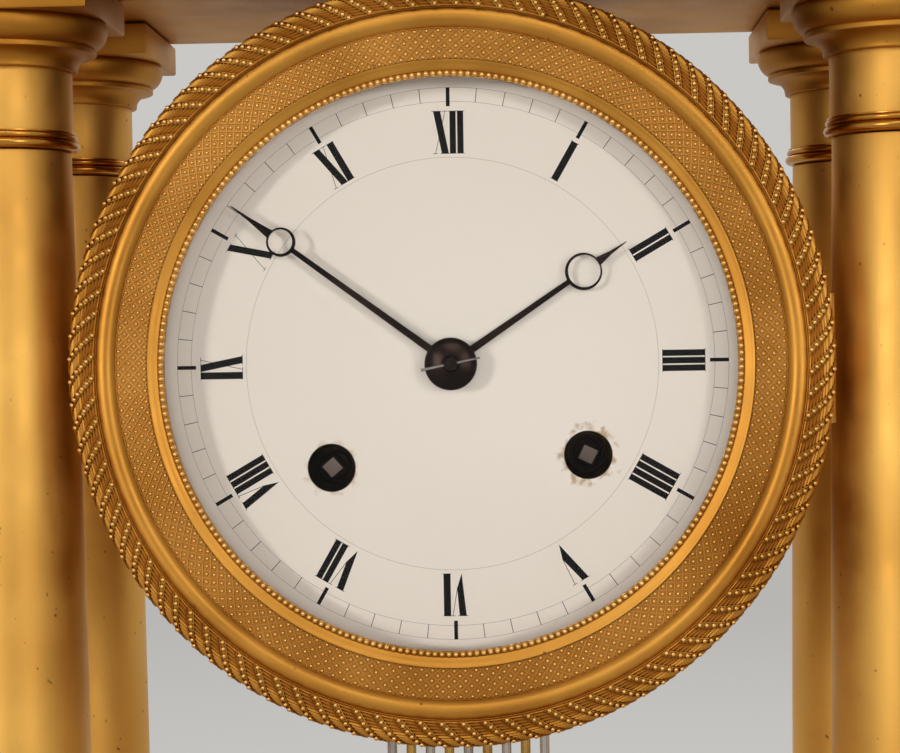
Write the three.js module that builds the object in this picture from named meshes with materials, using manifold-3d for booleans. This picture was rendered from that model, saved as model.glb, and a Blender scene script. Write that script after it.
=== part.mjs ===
// A gilt-bronze portico clock: four columns on a plinth carry an entablature, and a round
// striking movement hangs between them in a drum with a gridiron pendulum behind it.
// Millimetres, +Z up, the dial faces -Y. The origin is at the middle of the underside.
import * as THREE from "three";
import { mergeVertices } from "three/addons/utils/BufferGeometryUtils.js";
import Module from "manifold-3d";

const wasm = await Module();
wasm.setup();

// Driving dimensions of the case
const WIDTH = 200;
const DEPTH = 108;
const FOOT_HEIGHT = 16;
const PLINTH_HEIGHT = 34;
const STEP_HEIGHT = 6;
const ENTABLATURE_HEIGHT = 31;
const CORNICE_HEIGHT = 22;
const COLUMN_X = 73.8;
const COLUMN_Y = 27.5;
const SEAT_GAP = 0.3;
const CUT_OVERRUN = 2;

// Driving dimensions of the clock
const DIAL_BELOW_ABACUS = 63.5;
const BEZEL_RADIUS = 62.5;
const SIGHT_RADIUS = 46.9;
const DRUM_RADIUS = 58;
const DRUM_WALL = 1;
const PLATE_RADIUS = 43;
const PLATE_THICKNESS = 2;
const PENDULUM_LENGTH = 175;
const BOB_RADIUS = 24;
const BOB_ABOVE_STEP = 11;
const ANCHOR_HEIGHT = 34;

// Places along the line from the back to the front, forward of the middle of the portico
const BEZEL_BACK = 36.2;
const DRUM_FRONT = 34.3;
const DRUM_REAR = -18;
const DIAL_EDGE_FRONT = 29.4;
const DIAL_DOME = 1.2;
const FRONT_PLATE_FRONT = 21;
const BACK_PLATE_FRONT = -13;
const PENDULUM_PLANE = -24;

// Heights that follow from the driving dimensions
const plinthBottom = FOOT_HEIGHT;
const stepBottom = plinthBottom + PLINTH_HEIGHT;
const columnBottom = stepBottom + STEP_HEIGHT;
const columnHeight = DIAL_BELOW_ABACUS - ANCHOR_HEIGHT + PENDULUM_LENGTH + BOB_RADIUS + BOB_ABOVE_STEP;
const columnTop = columnBottom + columnHeight;
const dialHeight = columnTop - DIAL_BELOW_ABACUS;

const gilt = (name) => material(name, 0xc98a2b, 0.38, 1);
const brass = (name) => material(name, 0xc9a14a, 0.35, 1);
const steel = (name) => material(name, 0x77787c, 0.3, 1);
const blued = (name) => material(name, 0x1b1a1c, 0.35, 1);

function material(name, color, roughness, metalness) {
  return new THREE.MeshStandardMaterial({ name, color, roughness, metalness });
}

// Solids: every piece is made as one closed body, then turned into a mesh

function facesOut(geometry) {
  const p = geometry.attributes.position;
  const index = geometry.index;
  let volume = 0;
  const a = new THREE.Vector3();
  const b = new THREE.Vector3();
  const c = new THREE.Vector3();
  for (let i = 0; i < index.count; i += 3) {
    a.fromBufferAttribute(p, index.getX(i));
    b.fromBufferAttribute(p, index.getX(i + 1));
    c.fromBufferAttribute(p, index.getX(i + 2));
    volume += a.dot(b.cross(c));
  }
  if (volume < 0) {
    for (let i = 0; i < index.count; i += 3) {
      const swap = index.getX(i + 1);
      index.setX(i + 1, index.getX(i + 2));
      index.setX(i + 2, swap);
    }
  }
  return geometry;
}

function solid(geometry) {
  const bare = geometry.clone();
  bare.deleteAttribute("normal");
  bare.deleteAttribute("uv");
  const merged = facesOut(mergeVertices(bare, MERGE_SHARE * WIDTH));
  const triVerts = new Uint32Array(merged.index.array);
  const vertProperties = merged.attributes.position.array;
  return new wasm.Manifold(new wasm.Mesh({ numProp: 3, vertProperties, triVerts }));
}
const MERGE_SHARE = 2e-6;
const ROUNDING_STEPS = 3;
const DOME_STEPS = 2;
const HEXAGON = 6;

function meshOf(name, body, finish) {
  const made = body.getMesh();
  const geometry = new THREE.BufferGeometry();
  geometry.setAttribute("position", new THREE.BufferAttribute(made.vertProperties, 3));
  geometry.setIndex(new THREE.BufferAttribute(made.triVerts, 1));
  geometry.computeVertexNormals();
  const mesh = new THREE.Mesh(geometry, finish);
  mesh.name = name;
  return mesh;
}

// A turned body about +Z from [radius, height] points that start and end on the axis or close
function turned(points, segments) {
  const first = points[0];
  const last = points[points.length - 1];
  const onAxis = first[0] === 0 && last[0] === 0;
  const profile = onAxis ? points : [...points, first];
  const geometry = new THREE.LatheGeometry(
    profile.map(([r, z]) => new THREE.Vector2(r, z)),
    segments,
  );
  return solid(geometry.rotateX(Math.PI / 2));
}

function disc(radius, bottom, top, segments) {
  return turned([[0, bottom], [radius, bottom], [radius, top], [0, top]], segments);
}

function ring(inner, outer, bottom, top, segments) {
  return turned([[inner, bottom], [outer, bottom], [outer, top], [inner, top]], segments);
}

function block(width, depth, height, x, y, bottom) {
  const geometry = new THREE.BoxGeometry(width, depth, height);
  return solid(geometry.translate(x, y, bottom + height / 2));
}

// A flat outline in XY raised from bottom to top
function raised(shape, bottom, top, curveSegments) {
  const settings = { depth: top - bottom, bevelEnabled: false, curveSegments };
  return solid(new THREE.ExtrudeGeometry(shape, settings).translate(0, 0, bottom));
}

function outline(points) {
  return new THREE.Shape(points.map(([x, y]) => new THREE.Vector2(x, y)));
}

// The points of a quarter circle from one angle to another, as [radius, height]
function arcPoints(centreR, centreZ, radius, fromAngle, toAngle, steps) {
  return Array.from({ length: steps + 1 }, (_, i) => {
    const angle = fromAngle + ((toAngle - fromAngle) * i) / steps;
    return [centreR + radius * Math.cos(angle), centreZ + radius * Math.sin(angle)];
  });
}

function polar(radius, angle) {
  return [radius * Math.cos(angle), radius * Math.sin(angle)];
}

// A rectangular moulding lofted through [half width, half depth, height] levels
function moulded(levels) {
  const corners = [[-1, -1], [1, -1], [1, 1], [-1, 1]];
  const positions = levels.flatMap(([halfWidth, halfDepth, z]) =>
    corners.flatMap(([sx, sy]) => [sx * halfWidth, sy * halfDepth, z]),
  );
  const index = [0, 2, 1, 0, 3, 2];
  levels.slice(1).forEach((_, level) => {
    corners.forEach((__, side) => {
      const a = level * 4 + side;
      const b = level * 4 + ((side + 1) % 4);
      index.push(a, b, b + 4, a, b + 4, a + 4);
    });
  });
  const top = (levels.length - 1) * 4;
  index.push(top, top + 1, top + 2, top, top + 2, top + 3);
  const geometry = new THREE.BufferGeometry();
  geometry.setAttribute("position", new THREE.Float32BufferAttribute(positions, 3));
  geometry.setIndex(index);
  return solid(geometry);
}

// The outline of a toothed wheel: each tooth is a list of [radius, share of the pitch]
function toothedShape(teeth, phase, tooth) {
  const pitch = (2 * Math.PI) / teeth;
  const points = [];
  for (let i = 0; i < teeth; i += 1) {
    tooth.forEach(([radius, share]) => points.push(polar(radius, phase + (i + share) * pitch)));
  }
  return outline(points);
}

// Teeth that mesh: a root, two flanks and a flat top; one tooth points along phase
function gearShape(teeth, module, phase) {
  const tip = (teeth * module) / 2 + GEAR_ADDENDUM_SHARE * module;
  const root = (teeth * module) / 2 - GEAR_DEDENDUM_SHARE * module;
  return toothedShape(teeth, phase, [
    [root, -GEAR_ROOT_HALF_SHARE],
    [tip, -GEAR_TIP_HALF_SHARE],
    [tip, GEAR_TIP_HALF_SHARE],
    [root, GEAR_ROOT_HALF_SHARE],
  ]);
}
const GEAR_ADDENDUM_SHARE = 0.75;
const GEAR_DEDENDUM_SHARE = 1.05;
const GEAR_ROOT_HALF_SHARE = 0.24;
const GEAR_TIP_HALF_SHARE = 0.1;

// Train teeth with a sharp root between them
function trainShape(teeth, module) {
  const tip = (teeth * module) / 2 + GEAR_ADDENDUM_SHARE * module;
  const root = (teeth * module) / 2 - GEAR_DEDENDUM_SHARE * module;
  return toothedShape(teeth, 0, [
    [tip, -TRAIN_TIP_HALF_SHARE],
    [tip, TRAIN_TIP_HALF_SHARE],
    [root, TRAIN_ROOT_SHARE],
  ]);
}
const TRAIN_TIP_HALF_SHARE = 0.14;
const TRAIN_ROOT_SHARE = 0.5;

// Turned feet under the plinth
const FOOT_FROM_END = 16;
const FOOT_FROM_FRONT = 14;
const footX = WIDTH / 2 - FOOT_FROM_END;
const footY = DEPTH / 2 - FOOT_FROM_FRONT;
const FOOT_BULGE_RADIUS = 11.5;
const FOOT_PAD_RADIUS = 6.5;
const FOOT_NECK_RADIUS = 7.5;
const FOOT_FLANGE_THICKNESS = 2;
const FOOT_SEGMENTS = 12;

function foot() {
  const flangeBottom = FOOT_HEIGHT - SEAT_GAP - FOOT_FLANGE_THICKNESS;
  const bulgeHeight = flangeBottom / 2;
  return turned(
    [
      [0, 0],
      [FOOT_PAD_RADIUS, 0],
      [FOOT_BULGE_RADIUS * FOOT_BELLY_SHARE, bulgeHeight / 2],
      [FOOT_BULGE_RADIUS, bulgeHeight],
      [FOOT_BULGE_RADIUS * FOOT_BELLY_SHARE, bulgeHeight * FOOT_SHOULDER_SHARE],
      [FOOT_NECK_RADIUS, flangeBottom],
      [FOOT_BULGE_RADIUS, flangeBottom],
      [FOOT_BULGE_RADIUS, FOOT_HEIGHT - SEAT_GAP],
      [0, FOOT_HEIGHT - SEAT_GAP],
    ],
    FOOT_SEGMENTS,
  );
}
const FOOT_BELLY_SHARE = 0.88;
const FOOT_SHOULDER_SHARE = 1.5;

// Hollow moulded plinth, open underneath, with the tie-rod holes in its top
const PLINTH_INSET = 5;
const PLINTH_BASE_FILLET = 4;
const PLINTH_CORNICE = 5;
const PLINTH_WALL = 6;
const PLINTH_TOP = 5;
const TIE_HOLE_RADIUS = 2.6;
const TIE_SEGMENTS = 6;

function plinth() {
  const halfWidth = WIDTH / 2;
  const halfDepth = DEPTH / 2;
  const faceWidth = halfWidth - PLINTH_INSET;
  const faceDepth = halfDepth - PLINTH_INSET;
  const top = stepBottom - SEAT_GAP;
  const cove = PLINTH_INSET / 2;
  const outside = moulded([
    [halfWidth, halfDepth, plinthBottom],
    [halfWidth, halfDepth, plinthBottom + PLINTH_BASE_FILLET],
    [faceWidth, faceDepth, plinthBottom + PLINTH_BASE_FILLET + PLINTH_INSET],
    [faceWidth, faceDepth, top - PLINTH_CORNICE - PLINTH_INSET],
    [faceWidth + cove, faceDepth + cove, top - PLINTH_CORNICE - PLINTH_INSET / 3],
    [halfWidth, halfDepth, top - PLINTH_CORNICE],
    [halfWidth, halfDepth, top],
  ]);
  const hollowHeight = PLINTH_HEIGHT - PLINTH_TOP + CUT_OVERRUN;
  const hollow = block(
    2 * (faceWidth - PLINTH_WALL),
    2 * (faceDepth - PLINTH_WALL),
    hollowHeight,
    0,
    0,
    plinthBottom - CUT_OVERRUN,
  );
  const body = outside.subtract(hollow).add(footBosses());
  return drilledForTies(body.subtract(nutRoom()), plinthBottom, columnBottom);
}

// Six-sided room about each nut under the plinth's top
function nutRoom() {
  const well = disc(
    NUT_RADIUS + NUT_CLEARANCE,
    plinthBottom - CUT_OVERRUN,
    plinthBottom + PLINTH_HEIGHT - PLINTH_TOP,
    HEXAGON,
  );
  return joined(signs.map(([sx, sy]) => well.translate([sx * COLUMN_X, sy * COLUMN_Y, 0])));
}

// Corner blocks inside the plinth that the feet screw into
function footBosses() {
  const size = 2 * FOOT_NECK_RADIUS;
  const corners = signs.map(([sx, sy]) =>
    block(size, size, PLINTH_HEIGHT - PLINTH_TOP, sx * footX, sy * footY, plinthBottom),
  );
  const inner = moulded([
    [WIDTH / 2 - PLINTH_INSET, DEPTH / 2 - PLINTH_INSET, plinthBottom],
    [WIDTH / 2 - PLINTH_INSET, DEPTH / 2 - PLINTH_INSET, stepBottom - SEAT_GAP - PLINTH_CORNICE],
  ]);
  return joined(corners).intersect(inner);
}

const signs = [[-1, -1], [1, -1], [-1, 1], [1, 1]];

function joined(solids) {
  return solids.reduce((all, one) => all.add(one));
}

function drilledForTies(body, bottom, top) {
  return signs.reduce((rest, [sx, sy]) => {
    const hole = disc(TIE_HOLE_RADIUS, bottom - CUT_OVERRUN, top + CUT_OVERRUN, TIE_SEGMENTS);
    return rest.subtract(hole.translate([sx * COLUMN_X, sy * COLUMN_Y, 0]));
  }, body);
}

// The step that the columns stand on
const STEP_INSET = 4;
const STEP_CHAMFER = 1.5;

function step() {
  const halfWidth = WIDTH / 2 - STEP_INSET;
  const halfDepth = DEPTH / 2 - STEP_INSET;
  const top = columnBottom - SEAT_GAP;
  const body = moulded([
    [halfWidth, halfDepth, stepBottom],
    [halfWidth, halfDepth, top - STEP_CHAMFER],
    [halfWidth - STEP_CHAMFER, halfDepth - STEP_CHAMFER, top],
  ]);
  return drilledForTies(body, stepBottom, top);
}

// Columns: attic base, tapering shaft with a slight swell, and a Tuscan capital
const COLUMN_SEGMENTS = 16;
const SHAFT_STEPS = 4;
const COLUMN_FOOT_RADIUS = 12.8;
const COLUMN_NECK_RADIUS = 10.5;
const PEDESTAL_HALF = 17;
const PEDESTAL_HEIGHT = 6;
const BASE_TORUS_RADIUS = 16.6;
const BASE_TORUS_HEIGHT = 5;
const BASE_SCOTIA_RADIUS = 14;
const BASE_HEIGHT = 16;
const NECK_RING_BELOW_TOP = 27;
const NECK_RING_RADIUS = 11.5;
const NECK_RING_HEIGHT = 2.8;
const CAPITAL_COVE_BELOW_TOP = 12;
const CAPITAL_FILLET_BELOW_TOP = 9.2;
const CAPITAL_FILLET_RADIUS = 14.3;
const CAPITAL_FILLET_HEIGHT = 1;
const ABACUS_HEIGHT = 5.9;
const ABACUS_HALF = 16.9;
const SHAFT_SWELL_SHARE = 0.12;

function columnBase() {
  const torusBottom = columnBottom + PEDESTAL_HEIGHT;
  const half = BASE_TORUS_HEIGHT / 2;
  const top = columnBottom + BASE_HEIGHT;
  const torus = arcPoints(
    BASE_TORUS_RADIUS - half,
    torusBottom + half,
    half,
    -Math.PI / 2,
    Math.PI / 2,
    ROUNDING_STEPS,
  );
  const filletHeight = half / 2;
  const rounds = turned(
    [
      [0, torusBottom - CUT_OVERRUN],
      [BASE_TORUS_RADIUS - half, torusBottom - CUT_OVERRUN],
      ...torus,
      [BASE_SCOTIA_RADIUS - filletHeight, torusBottom + BASE_TORUS_HEIGHT + filletHeight],
      [BASE_SCOTIA_RADIUS, top - filletHeight],
      [BASE_SCOTIA_RADIUS, top],
      [0, top],
    ],
    COLUMN_SEGMENTS,
  );
  const pedestal = block(
    2 * PEDESTAL_HALF,
    2 * PEDESTAL_HALF,
    PEDESTAL_HEIGHT,
    0,
    0,
    columnBottom,
  );
  return bored(pedestal.add(rounds), columnBottom, top);
}

function bored(body, bottom, top) {
  return body.subtract(
    disc(TIE_HOLE_RADIUS, bottom - CUT_OVERRUN, top + CUT_OVERRUN, TIE_SEGMENTS),
  );
}

function columnShaft() {
  const bottom = columnBottom + BASE_HEIGHT + SEAT_GAP;
  const top = columnTop - NECK_RING_BELOW_TOP - SEAT_GAP;
  const profile = Array.from({ length: SHAFT_STEPS + 1 }, (_, i) => {
    const share = i / SHAFT_STEPS;
    const taper = COLUMN_FOOT_RADIUS - COLUMN_NECK_RADIUS;
    const swell = taper * SHAFT_SWELL_SHARE * Math.sin(Math.PI * share);
    return [COLUMN_FOOT_RADIUS - taper * share + swell, bottom + (top - bottom) * share];
  });
  return bored(turned([[0, bottom], ...profile, [0, top]], COLUMN_SEGMENTS), bottom, top);
}

function capital() {
  const ringBottom = columnTop - NECK_RING_BELOW_TOP;
  const ringTop = ringBottom + NECK_RING_HEIGHT;
  const bulge = NECK_RING_RADIUS - COLUMN_NECK_RADIUS;
  const coveBottom = columnTop - CAPITAL_COVE_BELOW_TOP;
  const filletBottom = columnTop - CAPITAL_FILLET_BELOW_TOP;
  const filletTop = filletBottom + CAPITAL_FILLET_HEIGHT;
  const abacusBottom = columnTop - ABACUS_HEIGHT;
  const rounds = turned(
    [
      [0, ringBottom],
      [COLUMN_NECK_RADIUS, ringBottom],
      [NECK_RING_RADIUS, ringBottom + bulge],
      [NECK_RING_RADIUS, ringTop - bulge],
      [COLUMN_NECK_RADIUS, ringTop],
      [COLUMN_NECK_RADIUS, coveBottom],
      [CAPITAL_FILLET_RADIUS, filletBottom],
      [CAPITAL_FILLET_RADIUS, filletTop],
      [ABACUS_HALF, abacusBottom],
      [0, abacusBottom + bulge],
    ],
    COLUMN_SEGMENTS,
  );
  const abacus = block(2 * ABACUS_HALF, 2 * ABACUS_HALF, ABACUS_HEIGHT, 0, 0, abacusBottom);
  return bored(abacus.add(rounds), ringBottom, columnTop);
}

// A steel tie rod runs through each column and is drawn tight by a nut below and above
const TIE_RADIUS = 1.9;
const NUT_RADIUS = 4.2;
const NUT_CLEARANCE = 0.6;
const NUT_HEIGHT = 3.5;
const TIE_TAIL = 1.5;

function tieRod() {
  const plinthUnderside = stepBottom - PLINTH_TOP;
  const top = columnTop + SEAT_GAP + ENTABLATURE_FLOOR;
  const lowNutTop = plinthUnderside - SEAT_GAP;
  const lowNut = disc(NUT_RADIUS, lowNutTop - NUT_HEIGHT, lowNutTop, HEXAGON);
  const highNut = disc(NUT_RADIUS, top + SEAT_GAP, top + SEAT_GAP + NUT_HEIGHT, HEXAGON);
  const rod = disc(
    TIE_RADIUS,
    lowNutTop - NUT_HEIGHT - TIE_TAIL,
    top + SEAT_GAP + NUT_HEIGHT + TIE_TAIL,
    TIE_SEGMENTS,
  );
  return rod.add(lowNut).add(highNut);
}

// Entablature: architrave and frieze in one casting, hollow from above, and the cornice lid
const ARCHITRAVE_HEIGHT = 12;
const ARCHITRAVE_OVERHANG = 14.5;
const FRIEZE_OVERHANG = 13.3;
const ENTABLATURE_WALL = 8;
const ENTABLATURE_FLOOR = 6;
const CORNICE_OVERHANG = 24;
const HANGER_HOLE_RADIUS = 2.6;

function entablature() {
  const bottom = columnTop + SEAT_GAP;
  const fillet = ARCHITRAVE_HEIGHT / 6;
  const top = bottom + ENTABLATURE_HEIGHT;
  const architraveTop = bottom + ARCHITRAVE_HEIGHT;
  const level = (overhang, z) => [COLUMN_X + overhang, COLUMN_Y + overhang, z];
  const body = moulded([
    level(ARCHITRAVE_OVERHANG, bottom),
    level(ARCHITRAVE_OVERHANG, architraveTop - fillet),
    level(ARCHITRAVE_OVERHANG + fillet, architraveTop - fillet / 2),
    level(ARCHITRAVE_OVERHANG + fillet, architraveTop),
    level(FRIEZE_OVERHANG, architraveTop),
    level(FRIEZE_OVERHANG, top - fillet),
    level(FRIEZE_OVERHANG + fillet, top),
  ]);
  const hollow = block(
    2 * (COLUMN_X + FRIEZE_OVERHANG - ENTABLATURE_WALL),
    2 * (COLUMN_Y + FRIEZE_OVERHANG - ENTABLATURE_WALL),
    ENTABLATURE_HEIGHT,
    0,
    0,
    bottom + ENTABLATURE_FLOOR,
  );
  const hangerHoles = joined(
    [-1, 1].map((side) =>
      disc(HANGER_HOLE_RADIUS, bottom - CUT_OVERRUN, top, TIE_SEGMENTS).translate([
        0,
        side * HANGER_SCREW_Y,
        0,
      ]),
    ),
  );
  return drilledForTies(body.subtract(hollow), bottom, top).subtract(hangerHoles);
}

function cornice() {
  const bottom = columnTop + SEAT_GAP + ENTABLATURE_HEIGHT + SEAT_GAP;
  const level = (overhang, share) => [
    COLUMN_X + overhang,
    COLUMN_Y + overhang,
    bottom + CORNICE_HEIGHT * share,
  ];
  return moulded(CORNICE_SHARES.map(([out, up]) => level(CORNICE_OVERHANG * out, up)));
}
const CORNICE_SHARES = [
  [0.6, 0],
  [0.6, 0.1],
  [0.75, 0.26],
  [0.8, 0.3],
  [0.8, 0.38],
  [0.94, 0.55],
  [1, 0.6],
  [1, 0.72],
  [0.74, 0.72],
  [0.7, 0.82],
  [0.7, 1],
];

// The drum hangs from the entablature by a saddle and two screws
const ROUND_SEGMENTS = 30;
const HANGER_WIDTH = 26;
const HANGER_LENGTH = 34;
const HANGER_SCREW_Y = 11;
const HANGER_SCREW_RADIUS = 2;

function drumShell() {
  const shell = ring(DRUM_RADIUS - DRUM_WALL, DRUM_RADIUS, DRUM_REAR, DRUM_FRONT, ROUND_SEGMENTS);
  return shell.add(hingeLug());
}

function hanger() {
  const gapTop = DIAL_BELOW_ABACUS;
  const saddle = solid(
    new THREE.BoxGeometry(HANGER_WIDTH, gapTop - DRUM_RADIUS / 2, HANGER_LENGTH).translate(
      0,
      (gapTop + DRUM_RADIUS / 2) / 2,
      0,
    ),
  );
  const drumSpace = disc(DRUM_RADIUS + SEAT_GAP, -DEPTH, DEPTH, ROUND_SEGMENTS);
  const screws = [-1, 1].map((side) => {
    const reach = ENTABLATURE_FLOOR + SEAT_GAP + NUT_HEIGHT + CUT_OVERRUN;
    const shank = disc(HANGER_SCREW_RADIUS, -CUT_OVERRUN, reach, TIE_SEGMENTS);
    const nutBottom = ENTABLATURE_FLOOR + 2 * SEAT_GAP;
    const nut = disc(NUT_RADIUS, nutBottom, nutBottom + NUT_HEIGHT, HEXAGON);
    return shank
      .add(nut)
      .rotate([-90, 0, 0])
      .translate([0, gapTop, side * HANGER_SCREW_Y]);
  });
  return joined([saddle.subtract(drumSpace), ...screws]);
}

// Bezel door: a cast ring with a beaded sight, trellis band, torus and rope border
const BAND_FRONT = 39.8;
const FILLET_INNER = 49.2;
const FILLET_OUTER = 50;
const LATTICE_OUTER = 54.4;
const TORUS_INNER = 55.1;
const TORUS_OUTER = 58;
const TORUS_FRONT = 41.5;
const ROPE_EDGE_FRONT = 37.4;
const GLASS_SEAT = 38.4;
const GLASS_RADIUS = 50;
const BEZEL_WALL = 1.6;
const HINGE_INSIDE_EDGE = 1.2;
const hingeX = BEZEL_RADIUS - HINGE_INSIDE_EDGE;
const HINGE_FORWARD = 35.4;
const HINGE_RADIUS = 1.15;
const HINGE_PIN_RADIUS = 0.6;
const HINGE_PIN_CLEARANCE = 0.15;
const KNUCKLE_LENGTH = 7;
const HINGE_SEGMENTS = 10;

function bezelProfile() {
  const torusRadius = (TORUS_OUTER - TORUS_INNER) / 2;
  const torusCentre = TORUS_FRONT - torusRadius;
  const ropeInner = TORUS_OUTER + SEAT_GAP;
  const ropeRadius = BEZEL_RADIUS - ropeInner;
  return [
    [SIGHT_RADIUS, GLASS_SEAT],
    [SIGHT_RADIUS, BAND_FRONT],
    [FILLET_INNER, BAND_FRONT],
    [FILLET_INNER, BAND_FRONT + SEAT_GAP],
    [FILLET_OUTER, BAND_FRONT + SEAT_GAP],
    [FILLET_OUTER, BAND_FRONT],
    [LATTICE_OUTER, BAND_FRONT + SEAT_GAP],
    [LATTICE_OUTER, torusCentre],
    ...arcPoints(TORUS_INNER + torusRadius, torusCentre, torusRadius, Math.PI, 0, ROUNDING_STEPS),
    ...arcPoints(ropeInner, ROPE_EDGE_FRONT, ropeRadius, Math.PI / 2, 0, DOME_STEPS),
    [BEZEL_RADIUS, BEZEL_BACK],
    [BEZEL_RADIUS - BEZEL_WALL, BEZEL_BACK],
    [TORUS_OUTER, GLASS_SEAT],
    [GLASS_RADIUS + SEAT_GAP, GLASS_SEAT],
  ];
}

function bezel() {
  const body = turned(bezelProfile(), BEZEL_SEGMENTS);
  const half = KNUCKLE_LENGTH / 2;
  const knuckle = hingeBarrel(-half + SEAT_GAP, half - SEAT_GAP, HINGE_RADIUS);
  const room = [-1, 1].map((side) => {
    const middle = side * KNUCKLE_LENGTH;
    return hingeBarrel(middle - half - SEAT_GAP, middle + half + SEAT_GAP, HINGE_RADIUS + SEAT_GAP);
  });
  return body.subtract(joined(room)).add(knuckle).subtract(hingeBore());
}
const BEZEL_SEGMENTS = 40;

function hingeBarrel(low, high, radius) {
  return disc(radius, low, high, HINGE_SEGMENTS)
    .rotate([-90, 0, 0])
    .translate([hingeX, 0, HINGE_FORWARD]);
}

function hingeBore() {
  return disc(HINGE_PIN_RADIUS + HINGE_PIN_CLEARANCE, -BEZEL_RADIUS, BEZEL_RADIUS, HINGE_SEGMENTS)
    .rotate([-90, 0, 0])
    .translate([hingeX, 0, HINGE_FORWARD]);
}

// Two knuckles on the drum take the pin above and below the bezel's own
function hingeLug() {
  const half = KNUCKLE_LENGTH / 2;
  const reach = hingeX - DRUM_RADIUS + DRUM_WALL;
  const upright = HINGE_FORWARD - DRUM_FRONT + HINGE_RADIUS;
  const knuckles = [-1, 1].map((side) => {
    const middle = side * KNUCKLE_LENGTH;
    const arm = solid(
      new THREE.BoxGeometry(reach, KNUCKLE_LENGTH, HINGE_RADIUS)
        .translate(hingeX - reach / 2, middle, DRUM_FRONT - HINGE_RADIUS / 2),
    );
    const web = solid(
      new THREE.BoxGeometry(HINGE_RADIUS, KNUCKLE_LENGTH, upright)
        .translate(hingeX - HINGE_RADIUS / 2, middle, HINGE_FORWARD - upright / 2),
    );
    const barrel = hingeBarrel(middle - half, middle + half, HINGE_RADIUS);
    return joined([barrel, arm, web]);
  });
  return joined(knuckles).subtract(hingeBore());
}

function hingePin() {
  const half = KNUCKLE_LENGTH + KNUCKLE_LENGTH / 2;
  return disc(HINGE_PIN_RADIUS, -half, half, HINGE_SEGMENTS)
    .rotate([-90, 0, 0])
    .translate([hingeX, 0, HINGE_FORWARD]);
}

// Slightly domed glass behind the sight edge
const GLASS_THICKNESS = 1;
const GLASS_DOME = 2.2;

function bezelGlass() {
  const edgeFront = GLASS_SEAT - SEAT_GAP;
  const dome = Array.from({ length: DOME_STEPS + 1 }, (_, i) => {
    const share = 1 - i / DOME_STEPS;
    return [
      share * (SIGHT_RADIUS - SEAT_GAP),
      edgeFront + GLASS_DOME * (1 - share * share),
    ];
  });
  const inside = dome.map(([r, z]) => [r, z - GLASS_THICKNESS]).reverse();
  return turned(
    [...inside, [GLASS_RADIUS, edgeFront - GLASS_THICKNESS], [GLASS_RADIUS, edgeFront], ...dome],
    ROUND_SEGMENTS,
  );
}

// Fixed front ring: it closes the drum, holds the dial plate and carries the two straps
const RING_LIP_OVERLAP = 1.3;
const ringLipRadius = DRUM_RADIUS + RING_LIP_OVERLAP;
const RING_LIP_THICKNESS = 1.2;
const RING_INNER = 49.3;
const ringSleeveOuter = DRUM_RADIUS - DRUM_WALL - SEAT_GAP;
const RING_SLEEVE_WALL = 1.4;
const RING_LEDGE_BACK = 28.2;
const RING_LEDGE_THICKNESS = 1.4;
const RING_SLEEVE_BACK = 25;
const STRAP_WIDTH = 8;
const STRAP_THICKNESS = 1.4;
const STRAP_INSIDE_SLEEVE = 0.4;
const strapRadius = ringSleeveOuter - RING_SLEEVE_WALL - STRAP_INSIDE_SLEEVE - STRAP_THICKNESS;

function dialRing() {
  const lipBack = DRUM_FRONT + SEAT_GAP;
  const ringBody = turned(
    [
      [ringSleeveOuter - RING_SLEEVE_WALL, RING_SLEEVE_BACK],
      [ringSleeveOuter, RING_SLEEVE_BACK],
      [ringSleeveOuter, lipBack],
      [ringLipRadius, lipBack],
      [ringLipRadius, lipBack + RING_LIP_THICKNESS],
      [ringSleeveOuter - RING_SLEEVE_WALL, lipBack + RING_LIP_THICKNESS],
      [RING_INNER, RING_LEDGE_BACK + RING_LEDGE_THICKNESS],
      [RING_INNER, RING_LEDGE_BACK],
      [ringSleeveOuter - RING_SLEEVE_WALL, RING_LEDGE_BACK],
    ],
    ROUND_SEGMENTS,
  );
  const straps = [-1, 1].map((side) => {
    const back = STRAP_BACK;
    const front = RING_LEDGE_BACK + RING_LEDGE_THICKNESS;
    return solid(
      new THREE.BoxGeometry(STRAP_THICKNESS, STRAP_WIDTH, front - back).translate(
        side * (strapRadius + STRAP_THICKNESS / 2),
        0,
        (front + back) / 2,
      ),
    );
  });
  const feet = [-1, 1].map((side) => strapFoot(side));
  return joined([ringBody, ...straps, ...feet]);
}
const STRAP_BACK = -12;

// The turned-in end of a strap that the rear ring's screw draws on
function strapFoot(side) {
  const length = SCREW_INSIDE_STRAP + STRAP_THICKNESS / 2;
  return solid(
    new THREE.BoxGeometry(length + STRAP_WIDTH / 4, STRAP_WIDTH, STRAP_THICKNESS).translate(
      side * (strapRadius - length / 2 + STRAP_THICKNESS / 2),
      0,
      STRAP_BACK + STRAP_THICKNESS / 2,
    ),
  );
}

// Rear ring with the heads of the two long screws
const SCREW_INSIDE_STRAP = 2;
const REAR_RING_INNER = 49;
const REAR_RING_THICKNESS = 1.5;
const SCREW_SHANK_RADIUS = 1.1;
const SCREW_HEAD_RADIUS = 2.4;
const SCREW_HEAD_HEIGHT = 1.6;

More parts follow.
